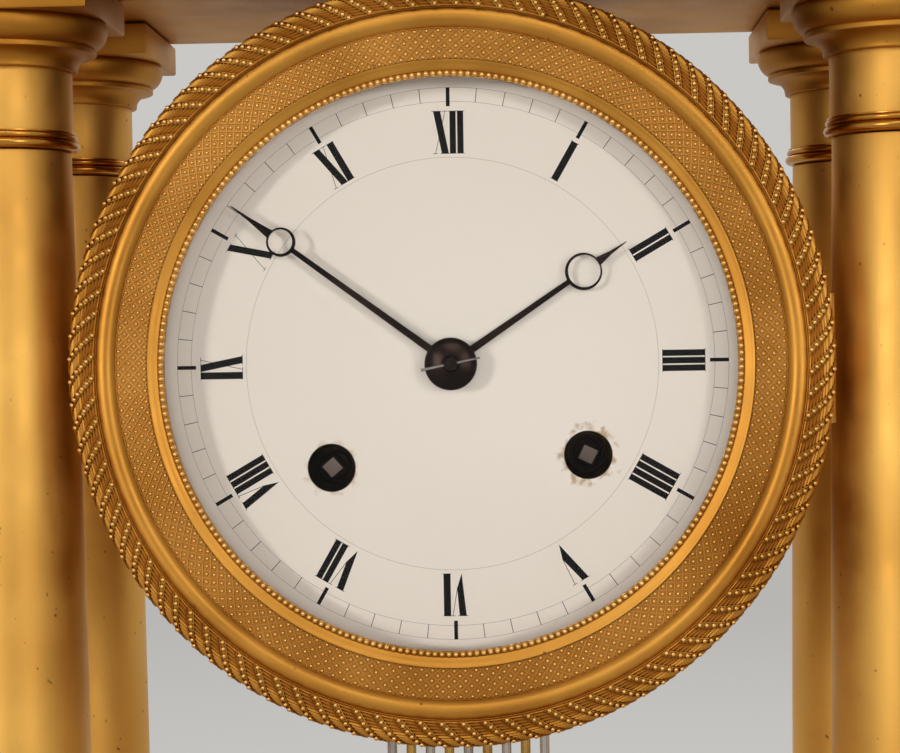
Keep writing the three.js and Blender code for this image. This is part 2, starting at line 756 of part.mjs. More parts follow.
function rearRing() {
  const front = DRUM_REAR - SEAT_GAP;
  const back = front - REAR_RING_THICKNESS;
  const body = turned(
    [
      [REAR_RING_INNER, back],
      [ringLipRadius, back],
      [ringLipRadius, front],
      [ringSleeveOuter, front],
      [ringSleeveOuter, front + STRAP_WIDTH / 2],
      [ringSleeveOuter - RING_SLEEVE_WALL, front + STRAP_WIDTH / 2],
      [ringSleeveOuter - RING_SLEEVE_WALL, front],
      [REAR_RING_INNER, front],
    ],
    ROUND_SEGMENTS,
  );
  const screws = [-1, 1].map((side) => {
    const shank = disc(SCREW_SHANK_RADIUS, back, STRAP_BACK - SEAT_GAP, TIE_SEGMENTS);
    const head = disc(SCREW_HEAD_RADIUS, back - SCREW_HEAD_HEIGHT, back, HINGE_SEGMENTS);
    return shank.add(head).translate([side * (strapRadius - SCREW_INSIDE_STRAP), 0, 0]);
  });
  return joined([body, ...screws]);
}

// Winding arbors, seen from the front: strike on the left, going on the right
const STRIKE_ARBOR = [-20.15, -16.9];
const GOING_ARBOR = [22.27, -15.35];
const STRIKE_SQUARE_TURN = 41;
const GOING_SQUARE_TURN = -26;
const WINDING_HOLE_RADIUS = 4;
const CENTRE_HOLE_RADIUS = 4;

// Domed enamel dial with its three holes
const DIAL_RADIUS = 48.9;
const DIAL_THICKNESS = 1.5;

function dial() {
  const front = Array.from({ length: DOME_STEPS + 1 }, (_, i) => {
    const share = 1 - i / DOME_STEPS;
    return [share * DIAL_RADIUS, DIAL_EDGE_FRONT + DIAL_DOME * (1 - share * share)];
  });
  const back = front.map(([r, z]) => [r, z - DIAL_THICKNESS]).reverse();
  const body = turned([...back, ...front], ROUND_SEGMENTS);
  return pierced(body, WINDING_HOLE_RADIUS, CENTRE_HOLE_RADIUS);
}

function pierced(body, windingRadius, centreRadius) {
  const hole = (radius, [x, y]) =>
    disc(radius, -DEPTH, DEPTH, HOLE_SEGMENTS).translate([x, y, 0]);
  return body
    .subtract(hole(windingRadius, STRIKE_ARBOR))
    .subtract(hole(windingRadius, GOING_ARBOR))
    .subtract(hole(centreRadius, [0, 0]));
}
const HOLE_SEGMENTS = 12;

// Brass dial plate that the enamel lies on, with three posts to the front plate
const PLATE_INSIDE_STRAP = 0.7;
const dialPlateRadius = strapRadius - PLATE_INSIDE_STRAP;
const PLATE_HOLE_RADIUS = 5.2;
const DIAL_PLATE_THICKNESS = 1.1;
const POST_RADIUS = 2;
const POST_CIRCLE = 36;
const POST_ANGLES = [30, 150, 270];

function dialPlate() {
  const front = DIAL_EDGE_FRONT - DIAL_THICKNESS - SEAT_GAP;
  const back = front - DIAL_PLATE_THICKNESS;
  const body = disc(dialPlateRadius, back, front, ROUND_SEGMENTS);
  const posts = POST_ANGLES.map((degrees) => {
    const [x, y] = polar(POST_CIRCLE, THREE.MathUtils.degToRad(degrees));
    return disc(POST_RADIUS, FRONT_PLATE_FRONT + SEAT_GAP, front, TIE_SEGMENTS).translate([x, y, 0]);
  });
  return pierced(joined([body, ...posts]), PLATE_HOLE_RADIUS, CENTRE_HOLE_RADIUS);
}

// Movement plates: the pillars are riveted to the front plate and pinned at the back plate
const PILLAR_CIRCLE = 38.8;
const PILLAR_ANGLES = [5, 60, 120, 175, 270];
const PILLAR_RADIUS = 2;
const PILLAR_BELLY_RADIUS = 2.8;
const PILLAR_PIVOT_RADIUS = 1.2;
const ARBOR_HOLE_RADIUS = 3.2;
const PIVOT_HOLE_RADIUS = 1.5;
const ANCHOR_HOLE_RADIUS = 3.4;

function frontPlate() {
  const back = FRONT_PLATE_FRONT - PLATE_THICKNESS;
  const body = disc(PLATE_RADIUS, back, FRONT_PLATE_FRONT, ROUND_SEGMENTS);
  const pillarEnd = BACK_PLATE_FRONT + SEAT_GAP;
  const pivotEnd = BACK_PLATE_FRONT - PLATE_THICKNESS - SCREW_HEAD_HEIGHT;
  const middle = (back + pillarEnd) / 2;
  const pillars = PILLAR_ANGLES.map((degrees) => {
    const [x, y] = polar(PILLAR_CIRCLE, THREE.MathUtils.degToRad(degrees));
    return turned(
      [
        [0, pivotEnd],
        [PILLAR_PIVOT_RADIUS, pivotEnd],
        [PILLAR_PIVOT_RADIUS, pillarEnd],
        [PILLAR_BELLY_RADIUS, pillarEnd],
        [PILLAR_RADIUS, middle],
        [PILLAR_BELLY_RADIUS, FRONT_PLATE_FRONT - PLATE_THICKNESS / 2],
        [0, FRONT_PLATE_FRONT - PLATE_THICKNESS / 2],
      ],
      TIE_SEGMENTS,
    ).translate([x, y, 0]);
  });
  return pierced(joined([body, ...pillars]), ARBOR_HOLE_RADIUS, PIVOT_HOLE_RADIUS);
}

function backPlate() {
  const back = BACK_PLATE_FRONT - PLATE_THICKNESS;
  const body = disc(PLATE_RADIUS, back, BACK_PLATE_FRONT, ROUND_SEGMENTS);
  const holes = PILLAR_ANGLES.map((degrees) => {
    const [x, y] = polar(PILLAR_CIRCLE, THREE.MathUtils.degToRad(degrees));
    return disc(PILLAR_PIVOT_RADIUS + SEAT_GAP, -DEPTH, DEPTH, TIE_SEGMENTS).translate([x, y, 0]);
  });
  const anchorHole = disc(ANCHOR_HOLE_RADIUS, -DEPTH, DEPTH, HOLE_SEGMENTS);
  const countHole = disc(PIVOT_HOLE_RADIUS, -DEPTH, DEPTH, TIE_SEGMENTS);
  return pierced(body, PIVOT_HOLE_RADIUS, PIVOT_HOLE_RADIUS)
    .subtract(joined(holes))
    .subtract(anchorHole.translate([0, ANCHOR_HEIGHT, 0]))
    .subtract(countHole.translate([...COUNT_WHEEL_AT, 0]));
}

// Spring barrels, each with its toothed great wheel, and the arbors that wind them
const BARREL_RADIUS = 13.8;
const BARREL_BACK = -9;
const BARREL_FRONT = 8;
const BARREL_SEGMENTS = 20;
const GREAT_WHEEL_TEETH = 30;
const GREAT_WHEEL_THICKNESS = 2;
const GREAT_WHEEL_MODULE = 1.02;
const ARBOR_RADIUS = 2.4;
const ARBOR_PIVOT_RADIUS = 1.1;
const SQUARE_SIDE = 3;
const SQUARE_FRONT = 28.6;
const RATCHET_TEETH = 18;
const RATCHET_RADIUS = 7;
const RATCHET_THICKNESS = 1.6;
const RATCHET_DEPTH = 1.1;
const RUNNING_CLEARANCE = 0.4;

function barrel() {
  const shape = trainShape(GREAT_WHEEL_TEETH, GREAT_WHEEL_MODULE);
  const wheel = raised(shape, BARREL_FRONT - GREAT_WHEEL_THICKNESS, BARREL_FRONT, 1);
  const drum = disc(BARREL_RADIUS, BARREL_BACK, BARREL_FRONT, BARREL_SEGMENTS);
  const bore = disc(ARBOR_RADIUS + RUNNING_CLEARANCE, -DEPTH, DEPTH, HOLE_SEGMENTS);
  return drum.add(wheel).subtract(bore);
}

function windingArbor(squareTurn) {
  const plateBack = FRONT_PLATE_FRONT - PLATE_THICKNESS;
  const backPivot = BACK_PLATE_FRONT - PLATE_THICKNESS - SEAT_GAP;
  const shoulder = BACK_PLATE_FRONT + RUNNING_CLEARANCE;
  const body = turned(
    [
      [0, backPivot],
      [ARBOR_PIVOT_RADIUS, backPivot],
      [ARBOR_PIVOT_RADIUS, shoulder],
      [ARBOR_RADIUS, shoulder],
      [ARBOR_RADIUS, FRONT_PLATE_FRONT + RUNNING_CLEARANCE],
      [0, FRONT_PLATE_FRONT + RUNNING_CLEARANCE],
    ],
    HINGE_SEGMENTS,
  );
  const squareLength = SQUARE_FRONT - FRONT_PLATE_FRONT;
  const square = solid(
    new THREE.BoxGeometry(SQUARE_SIDE, SQUARE_SIDE, squareLength).translate(
      0,
      0,
      FRONT_PLATE_FRONT + squareLength / 2,
    ),
  ).rotate([0, 0, squareTurn]);
  const ratchetFront = plateBack - RUNNING_CLEARANCE;
  const ratchet = raised(ratchetShape(), ratchetFront - RATCHET_THICKNESS, ratchetFront, 1);
  return joined([body, square, ratchet]);
}

function ratchetShape() {
  return toothedShape(RATCHET_TEETH, 0, [
    [RATCHET_RADIUS, 0],
    [RATCHET_RADIUS - RATCHET_DEPTH, RATCHET_UNDERCUT_SHARE],
  ]);
}
const RATCHET_UNDERCUT_SHARE = 0.85;

// Motion work under the dial: the cannon drives the minute wheel, its pinion drives the hour wheel
const MOTION_CENTRES = 14;
const CANNON_TEETH = 8;
const MINUTE_TEETH = 24;
const MINUTE_PINION_TEETH = 6;
const HOUR_TEETH = 24;
const MINUTE_MODULE = (2 * MOTION_CENTRES) / (CANNON_TEETH + MINUTE_TEETH);
const HOUR_MODULE = (2 * MOTION_CENTRES) / (MINUTE_PINION_TEETH + HOUR_TEETH);
const MOTION_ANGLE = Math.PI / 2;
const MOTION_WHEEL_THICKNESS = 1;
const CENTRE_ARBOR_RADIUS = 1.1;
const CANNON_RADIUS = 1.9;
const CENTRE_WHEEL_TEETH = 32;
const CENTRE_WHEEL_MODULE = 0.88;
const CENTRE_WHEEL_FRONT = 14;
const MINUTE_HAND_BACK = 34;
const HOUR_HAND_BACK = 32.2;
const HAND_THICKNESS = 0.7;
const HOUR_PIPE_WALL = 0.7;

function centreArbor() {
  const backPivot = BACK_PLATE_FRONT - PLATE_THICKNESS - SEAT_GAP;
  const cannonBack = FRONT_PLATE_FRONT + RUNNING_CLEARANCE;
  const body = turned(
    [
      [0, backPivot],
      [CENTRE_ARBOR_RADIUS, backPivot],
      [CENTRE_ARBOR_RADIUS, cannonBack],
      [CANNON_RADIUS, cannonBack],
      [CANNON_RADIUS, MINUTE_HAND_BACK - SEAT_GAP],
      [CENTRE_ARBOR_RADIUS, MINUTE_HAND_BACK - SEAT_GAP],
      [CENTRE_ARBOR_RADIUS, ARBOR_TIP],
      [0, ARBOR_TIP],
    ],
    HINGE_SEGMENTS,
  );
  const cannon = raised(
    gearShape(CANNON_TEETH, MINUTE_MODULE, MOTION_ANGLE),
    cannonBack,
    cannonBack + MOTION_WHEEL_THICKNESS + SEAT_GAP,
    1,
  );
  const wheel = crossedWheel(CENTRE_WHEEL_TEETH, CENTRE_WHEEL_MODULE, CENTRE_WHEEL_FRONT);
  return joined([body, cannon, wheel]);
}
const ARBOR_TIP = 37.2;

// A wheel with a rim, a hub and arms left by the crossings
const WHEEL_ARMS = 5;
const WHEEL_RIM_MODULES = 2.6;
const WHEEL_ARM_HALF_WIDTH = 0.9;
const WHEEL_HUB_RADIUS = 3;
const RIM_SHARES = [-1, -0.33, 0.33, 1];

function crossedWheel(teeth, module, front) {
  const shape = trainShape(teeth, module);
  const rimInner = (teeth * module) / 2 - WHEEL_RIM_MODULES * module;
  const sector = (2 * Math.PI) / WHEEL_ARMS;
  for (let arm = 0; arm < WHEEL_ARMS; arm += 1) {
    const middle = arm * sector + sector / 2;
    const outerHalf = sector / 2 - Math.asin(WHEEL_ARM_HALF_WIDTH / rimInner);
    const innerHalf = sector / 2 - Math.asin(WHEEL_ARM_HALF_WIDTH / WHEEL_HUB_RADIUS);
    const opening = RIM_SHARES.map((share) => polar(rimInner, middle + share * outerHalf));
    opening.push(polar(WHEEL_HUB_RADIUS, middle + innerHalf));
    opening.push(polar(WHEEL_HUB_RADIUS, middle - innerHalf));
    shape.holes.push(new THREE.Path(opening.map(([x, y]) => new THREE.Vector2(x, y))));
  }
  return raised(shape, front - MOTION_WHEEL_THICKNESS, front, 1);
}

function minuteWheel() {
  const [x, y] = polar(MOTION_CENTRES, MOTION_ANGLE);
  const back = FRONT_PLATE_FRONT + RUNNING_CLEARANCE;
  const front = back + MOTION_WHEEL_THICKNESS;
  const facing = MOTION_ANGLE + Math.PI;
  const gap = Math.PI / MINUTE_TEETH;
  const wheel = raised(gearShape(MINUTE_TEETH, MINUTE_MODULE, facing + gap), back, front, 1);
  const pinionFront = back + PINION_LENGTH;
  const pinion = raised(
    gearShape(MINUTE_PINION_TEETH, HOUR_MODULE, facing),
    back,
    pinionFront,
    1,
  );
  const bore = disc(STUD_RADIUS + RUNNING_CLEARANCE, -DEPTH, DEPTH, TIE_SEGMENTS);
  return wheel.add(pinion).subtract(bore).translate([x, y, 0]);
}
const PINION_LENGTH = 3.8;
const STUD_RADIUS = 0.7;

function minuteStud() {
  const [x, y] = polar(MOTION_CENTRES, MOTION_ANGLE);
  const tip = FRONT_PLATE_FRONT + PINION_LENGTH + 2 * RUNNING_CLEARANCE;
  const root = FRONT_PLATE_FRONT - PLATE_THICKNESS / 2;
  return disc(STUD_RADIUS, root, tip, TIE_SEGMENTS).translate([x, y, 0]);
}

function hourWheel() {
  const wheelFront = FRONT_PLATE_FRONT + RUNNING_CLEARANCE + PINION_LENGTH;
  const wheelBack = wheelFront - MOTION_WHEEL_THICKNESS;
  const gap = Math.PI / HOUR_TEETH;
  const shape = gearShape(HOUR_TEETH, HOUR_MODULE, MOTION_ANGLE + gap);
  const wheel = raised(shape, wheelBack, wheelFront, 1);
  const inner = CANNON_RADIUS + RUNNING_CLEARANCE / 2;
  const pipe = disc(inner + HOUR_PIPE_WALL, wheelBack, HOUR_HAND_BACK - SEAT_GAP, HINGE_SEGMENTS);
  const bore = disc(inner, -DEPTH, DEPTH, HINGE_SEGMENTS);
  return wheel.add(pipe).subtract(bore);
}

// Moon hands: a slim shank, an off-centre ring and a pointed tip
const HOUR_ANGLE = 56;
const MINUTE_ANGLE = -53.5;
const HOUR_RING_AT = 26.4;
const HOUR_RING_RADIUS = 3.05;
const HOUR_RING_HOLE = 2.65;
const HOUR_TIP = 34.9;
const MINUTE_RING_AT = 34.2;
const MINUTE_RING_RADIUS = 2.4;
const MINUTE_RING_HOLE = 2;
const MINUTE_TIP = 44.3;
const HAND_HUB_RADIUS = 4;
const SHANK_HUB_HALF = 0.65;
const SHANK_RING_HALF = 0.42;

function moonHand(ringAt, ringRadius, ringHole, tip, back, boreRadius, clockAngle) {
  const front = back + HAND_THICKNESS;
  const tipStart = ringAt + ringRadius * TIP_ROOT_SHARE;
  const shank = outline([
    [-SHANK_HUB_HALF, 0],
    [SHANK_HUB_HALF, 0],
    [SHANK_RING_HALF, ringAt - ringRadius * TIP_ROOT_SHARE],
    [-SHANK_RING_HALF, ringAt - ringRadius * TIP_ROOT_SHARE],
  ]);
  const point = outline([
    [-SHANK_HUB_HALF, tipStart],
    [SHANK_HUB_HALF, tipStart],
    [TIP_HALF, tip],
    [-TIP_HALF, tip],
  ]);
  const moon = disc(ringRadius, back, front, RING_SEGMENTS)
    .subtract(
      disc(ringHole, back - CUT_OVERRUN, front + CUT_OVERRUN, RING_SEGMENTS).translate([
        0,
        (ringRadius - ringHole) * MOON_OFFSET_SHARE,
        0,
      ]),
    )
    .translate([0, ringAt, 0]);
  const hub = disc(HAND_HUB_RADIUS, back, front, HOLE_SEGMENTS);
  const bore = disc(boreRadius, back - CUT_OVERRUN, front + CUT_OVERRUN, HINGE_SEGMENTS);
  return joined([hub, raised(shank, back, front, 1), raised(point, back, front, 1), moon])
    .subtract(bore)
    .rotate([0, 0, -clockAngle]);
}
const TIP_ROOT_SHARE = 0.97;
const TIP_HALF = 0.06;
const MOON_OFFSET_SHARE = 1 / 3;
const RING_SEGMENTS = 20;

function hourHand() {
  const bore = CANNON_RADIUS + RUNNING_CLEARANCE / 2;
  return moonHand(
    HOUR_RING_AT,
    HOUR_RING_RADIUS,
    HOUR_RING_HOLE,
    HOUR_TIP,
    HOUR_HAND_BACK,
    bore,
    HOUR_ANGLE,
  );
}

function minuteHand() {
  return moonHand(
    MINUTE_RING_AT,
    MINUTE_RING_RADIUS,
    MINUTE_RING_HOLE,
    MINUTE_TIP,
    MINUTE_HAND_BACK,
    CENTRE_ARBOR_RADIUS + HAND_FIT,
    MINUTE_ANGLE,
  );
}
const HAND_FIT = 0.1;

// Domed collet over the minute hand and the taper pin through the arbor's end
const COLLET_RADIUS = 4.3;
const COLLET_DOME_RADIUS = 3.6;
const COLLET_SHOULDER_RADIUS = 2.6;
const COLLET_SHOULDER_HEIGHT = 0.85;
const COLLET_HEIGHT = 1.05;
const PIN_LENGTH = 9.8;
const PIN_RADIUS = 0.22;
const PIN_TURN = 11;
const PIN_FORWARD = 2.1;

function handCollet() {
  const back = MINUTE_HAND_BACK + HAND_THICKNESS + SEAT_GAP / 3;
  const inner = CENTRE_ARBOR_RADIUS + HAND_FIT;
  return turned(
    [
      [inner, back],
      [COLLET_RADIUS, back],
      [COLLET_RADIUS, back + HAND_THICKNESS / 2],
      [COLLET_DOME_RADIUS, back + HAND_THICKNESS / 2],
      [COLLET_SHOULDER_RADIUS, back + COLLET_SHOULDER_HEIGHT],
      [inner, back + COLLET_HEIGHT],
    ],
    HOLE_SEGMENTS,
  );
}

function handPin() {
  const forward = MINUTE_HAND_BACK + PIN_FORWARD;
  const hole = disc(PIN_RADIUS + HAND_FIT, -PIN_LENGTH, PIN_LENGTH, HEXAGON);
  const pin = disc(PIN_RADIUS, -PIN_LENGTH / 2, PIN_LENGTH / 2, HEXAGON);
  const lay = (body) => body.rotate([0, 90, 0]).rotate([0, 0, PIN_TURN]).translate([0, 0, forward]);
  return { pin: lay(pin), hole: lay(hole) };
}

// Escapement: escape wheel, anchor on its arbor and the crutch that the pendulum follows
const ESCAPE_HEIGHT = 22.5;
const ESCAPE_TEETH = 30;
const ESCAPE_RADIUS = 7.8;
const ESCAPE_DEPTH = 1.3;
const ESCAPE_ROOT_SHARE = 0.4;
const ESCAPE_FRONT = 3;
const ANCHOR_ARM_HALF = 1;
const ANCHOR_SPAN_HALF = 7.5;
const ANCHOR_DROP = 6.9;
const CRUTCH_FRONT = -17;
const CRUTCH_THICKNESS = 1.2;
const CRUTCH_LENGTH = 38;
const CRUTCH_HALF_WIDTH = 0.9;
const FORK_GAP = 0.45;
const FORK_PRONG = 1;
const ROD_RADIUS = 0.95;

function escapeWheel() {
  const shape = toothedShape(ESCAPE_TEETH, 0, [
    [ESCAPE_RADIUS, 0],
    [ESCAPE_RADIUS - ESCAPE_DEPTH, ESCAPE_ROOT_SHARE],
  ]);
  const wheel = raised(shape, ESCAPE_FRONT - MOTION_WHEEL_THICKNESS, ESCAPE_FRONT, 1);
  const arbor = disc(
    STUD_RADIUS,
    BACK_PLATE_FRONT + SEAT_GAP,
    FRONT_PLATE_FRONT - PLATE_THICKNESS - SEAT_GAP,
    TIE_SEGMENTS,
  );
  return wheel.add(arbor).translate([0, ESCAPE_HEIGHT, 0]);
}

function anchor() {
  const front = ESCAPE_FRONT;
  const back = front - MOTION_WHEEL_THICKNESS;
  const arms = outline([
    [-ANCHOR_ARM_HALF, ANCHOR_ARM_HALF],
    [-ANCHOR_SPAN_HALF - ANCHOR_ARM_HALF, -ANCHOR_DROP / 2],
    [-ANCHOR_SPAN_HALF - ANCHOR_ARM_HALF, -ANCHOR_DROP],
    [-ANCHOR_SPAN_HALF, -ANCHOR_DROP],
    [-ANCHOR_SPAN_HALF + ANCHOR_ARM_HALF / 2, -ANCHOR_DROP / 2],
    [0, -ANCHOR_ARM_HALF],
    [ANCHOR_SPAN_HALF - ANCHOR_ARM_HALF / 2, -ANCHOR_DROP / 2],
    [ANCHOR_SPAN_HALF, -ANCHOR_DROP],
    [ANCHOR_SPAN_HALF + ANCHOR_ARM_HALF, -ANCHOR_DROP],
    [ANCHOR_SPAN_HALF + ANCHOR_ARM_HALF, -ANCHOR_DROP / 2],
    [ANCHOR_ARM_HALF, ANCHOR_ARM_HALF],
  ]);
  const pallets = raised(arms, back, front, 1);
  const arbor = disc(
    STUD_RADIUS,
    COCK_BACK + COCK_THICKNESS + RUNNING_CLEARANCE,
    FRONT_PLATE_FRONT - PLATE_THICKNESS - SEAT_GAP,
    TIE_SEGMENTS,
  );
  return pallets.add(arbor).translate([0, ANCHOR_HEIGHT, 0]);
}

function crutch() {
  const back = CRUTCH_FRONT - CRUTCH_THICKNESS;
  const rod = outline([
    [-2 * CRUTCH_HALF_WIDTH, 2 * CRUTCH_HALF_WIDTH],
    [-CRUTCH_HALF_WIDTH, -CRUTCH_LENGTH],
    [CRUTCH_HALF_WIDTH, -CRUTCH_LENGTH],
    [2 * CRUTCH_HALF_WIDTH, 2 * CRUTCH_HALF_WIDTH],
  ]);
  const arm = raised(rod, back, CRUTCH_FRONT, 1);
  const bore = disc(STUD_RADIUS + HAND_FIT, -DEPTH, DEPTH, TIE_SEGMENTS);
  const prongIn = ROD_RADIUS + FORK_GAP;
  const width = 2 * (prongIn + FORK_PRONG);
  const bridge = solid(
    new THREE.BoxGeometry(width, 2 * CRUTCH_HALF_WIDTH, CRUTCH_THICKNESS).translate(
      0,
      CRUTCH_HALF_WIDTH - CRUTCH_LENGTH,
      back + CRUTCH_THICKNESS / 2,
    ),
  );
  const prongBack = PENDULUM_PLANE - ROD_RADIUS;
  const prongs = [-1, 1].map((side) =>
    solid(
      new THREE.BoxGeometry(FORK_PRONG, 2 * CRUTCH_HALF_WIDTH, CRUTCH_FRONT - prongBack).translate(
        side * (prongIn + FORK_PRONG / 2),
        CRUTCH_HALF_WIDTH - CRUTCH_LENGTH,
        (CRUTCH_FRONT + prongBack) / 2,
      ),
    ),
  );
  return joined([arm, bridge, ...prongs]).subtract(bore).translate([0, ANCHOR_HEIGHT, 0]);
}

// Back cock: it bridges the anchor arbor and holds the suspension block
const COCK_BACK = -21;
const COCK_THICKNESS = 1.5;
const COCK_HALF_WIDTH = 10;
const COCK_FOOT_WIDTH = 3.5;
const COCK_BELOW = 3;
const COCK_ABOVE = 10.5;
const SPRING_TOP_ABOVE_PIVOT = 5.4;
const BLOCK_HALF_WIDTH = 3;

function pendulumCock() {
  const plateBack = BACK_PLATE_FRONT - PLATE_THICKNESS - SEAT_GAP;
  const height = COCK_BELOW + COCK_ABOVE;
  const middle = (COCK_ABOVE - COCK_BELOW) / 2;
  const bridge = solid(
    new THREE.BoxGeometry(2 * COCK_HALF_WIDTH, height, COCK_THICKNESS).translate(
      0,
      middle,
      COCK_BACK + COCK_THICKNESS / 2,
    ),
  );
  const footLength = plateBack - COCK_BACK;
  const feet = [-1, 1].map((side) =>
    solid(
      new THREE.BoxGeometry(COCK_FOOT_WIDTH, height, footLength).translate(
        side * (COCK_HALF_WIDTH - COCK_FOOT_WIDTH / 2),
        middle,
        COCK_BACK + footLength / 2,
      ),
    ),
  );
  const blockBottom = SPRING_TOP_ABOVE_PIVOT + SEAT_GAP;
  const blockLength = COCK_BACK + COCK_THICKNESS - PENDULUM_PLANE + BLOCK_HALF_WIDTH;
  const suspensionBlock = solid(
    new THREE.BoxGeometry(2 * BLOCK_HALF_WIDTH, COCK_ABOVE - blockBottom, blockLength).translate(
      0,
      (COCK_ABOVE + blockBottom) / 2,
      COCK_BACK + COCK_THICKNESS - blockLength / 2,
    ),
  );
  const body = joined([bridge, ...feet, suspensionBlock]);
  const pivot = disc(STUD_RADIUS + HAND_FIT, -DEPTH, DEPTH, TIE_SEGMENTS);
  return body.subtract(pivot).translate([0, ANCHOR_HEIGHT, 0]);
}

// Suspension spring between two brass ends
const SPRING_HALF_WIDTH = 2;
const SPRING_THICKNESS = 0.3;
const SPRING_BOTTOM_BELOW_PIVOT = 4;

function suspensionSpring() {
  const length = SPRING_TOP_ABOVE_PIVOT + SPRING_BOTTOM_BELOW_PIVOT;
  const strip = solid(
    new THREE.BoxGeometry(2 * SPRING_HALF_WIDTH, length, SPRING_THICKNESS).translate(
      0,
      SPRING_TOP_ABOVE_PIVOT - length / 2,
      PENDULUM_PLANE,
    ),
  );
  return strip.translate([0, ANCHOR_HEIGHT, 0]);
}

// Gridiron: five steel and four brass rods between cross-bars
const ROD_COUNT = 9;
const ROD_PITCH = 3.62;
const BAR_HALF_DEPTH = 1.5;
const BAR_HEIGHT = 5;
const HOOK_HALF_WIDTH = 2.2;
const GRID_TOP_BELOW_PIVOT = 12;
const BOB_HALF_THICKNESS = 4.2;
const BOB_EDGE_HALF = 1.2;
const BOB_FIELD_SHARE = 0.55;
const BOB_SWELL_SHARE = 0.85;
const GRID_TO_BOB = 5;
const SCREW_ROD_RADIUS = 1.3;
const NUT_KNOB_RADIUS = 4.5;
const NUT_KNOB_HEIGHT = 4;

function gridiron() {
  const halfWidth = ((ROD_COUNT - 1) / 2) * ROD_PITCH + 2 * ROD_RADIUS;
  const gridTop = ANCHOR_HEIGHT - GRID_TOP_BELOW_PIVOT;
  const bobAt = ANCHOR_HEIGHT - PENDULUM_LENGTH;
  const gridBottom = bobAt + BOB_RADIUS + GRID_TO_BOB;
  const bar = (top) =>
    solid(
      new THREE.BoxGeometry(2 * halfWidth, BAR_HEIGHT, 2 * BAR_HALF_DEPTH).translate(
        0,
        top - BAR_HEIGHT / 2,
        PENDULUM_PLANE,
      ),
    );
  const rods = Array.from({ length: ROD_COUNT }, (_, i) => {
    const x = (i - (ROD_COUNT - 1) / 2) * ROD_PITCH;
    return uprightRod(ROD_RADIUS, gridBottom, gridTop - BAR_HEIGHT / 2).translate([x, 0, 0]);
  });
  const hookTop = ANCHOR_HEIGHT - SPRING_BOTTOM_BELOW_PIVOT - SEAT_GAP;
  const hook = solid(
    new THREE.BoxGeometry(2 * HOOK_HALF_WIDTH, hookTop - gridTop + BAR_HEIGHT / 2, 2 * ROD_RADIUS)
      .translate(0, (hookTop + gridTop - BAR_HEIGHT / 2) / 2, PENDULUM_PLANE),
  );
  const screwEnd = bobAt - BOB_RADIUS - NUT_KNOB_HEIGHT - 2 * SEAT_GAP - CUT_OVERRUN;
  const screw = uprightRod(SCREW_ROD_RADIUS, screwEnd, gridBottom);
  return joined([bar(gridTop), bar(gridBottom + BAR_HEIGHT / 2), ...rods, hook, screw]);
}

function uprightRod(radius, bottom, top) {
  return disc(radius, bottom, top, TIE_SEGMENTS)
    .rotate([-90, 0, 0])
    .translate([0, 0, PENDULUM_PLANE]);
}

function bob() {
  const half = BOB_HALF_THICKNESS;
  const lens = turned(
    [
      [0, -half],
      [BOB_RADIUS * BOB_FIELD_SHARE, -half * BOB_SWELL_SHARE],
      [BOB_RADIUS, -BOB_EDGE_HALF],
      [BOB_RADIUS, BOB_EDGE_HALF],
      [BOB_RADIUS * BOB_FIELD_SHARE, half * BOB_SWELL_SHARE],
      [0, half],
    ],
    ROUND_SEGMENTS,
  );
  const bobAt = ANCHOR_HEIGHT - PENDULUM_LENGTH;
  const body = lens.translate([0, bobAt, PENDULUM_PLANE]);
  const reach = 2 * BOB_RADIUS;
  const bore = uprightRod(SCREW_ROD_RADIUS + SEAT_GAP, bobAt - reach, bobAt + reach);
  return body.subtract(bore);
}

function ratingNut() {
  const top = ANCHOR_HEIGHT - PENDULUM_LENGTH - BOB_RADIUS - SEAT_GAP;
  const bottom = top - NUT_KNOB_HEIGHT;
  const knob = disc(NUT_KNOB_RADIUS, bottom, top, HOLE_SEGMENTS);
  const boreRadius = SCREW_ROD_RADIUS + HAND_FIT;
  const bore = disc(boreRadius, bottom - CUT_OVERRUN, top + CUT_OVERRUN, HINGE_SEGMENTS);
  return knob
    .subtract(bore)
    .rotate([-90, 0, 0])
    .translate([0, 0, PENDULUM_PLANE]);
}

// Striking work on the back plate: count wheel, hammer, bell and its stand
const COUNT_WHEEL_AT = [-24, 6];
const COUNT_RADIUS = 10.5;
const COUNT_NOTCH_DEPTH = 1.6;
const COUNT_THICKNESS = 1.2;
const COUNT_HOURS = 12;
const NOTCH_HALF_ANGLE = THREE.MathUtils.degToRad(2.2);
const STRIKE_BLOWS = 90;
const COUNT_ARC_HOURS = 3;

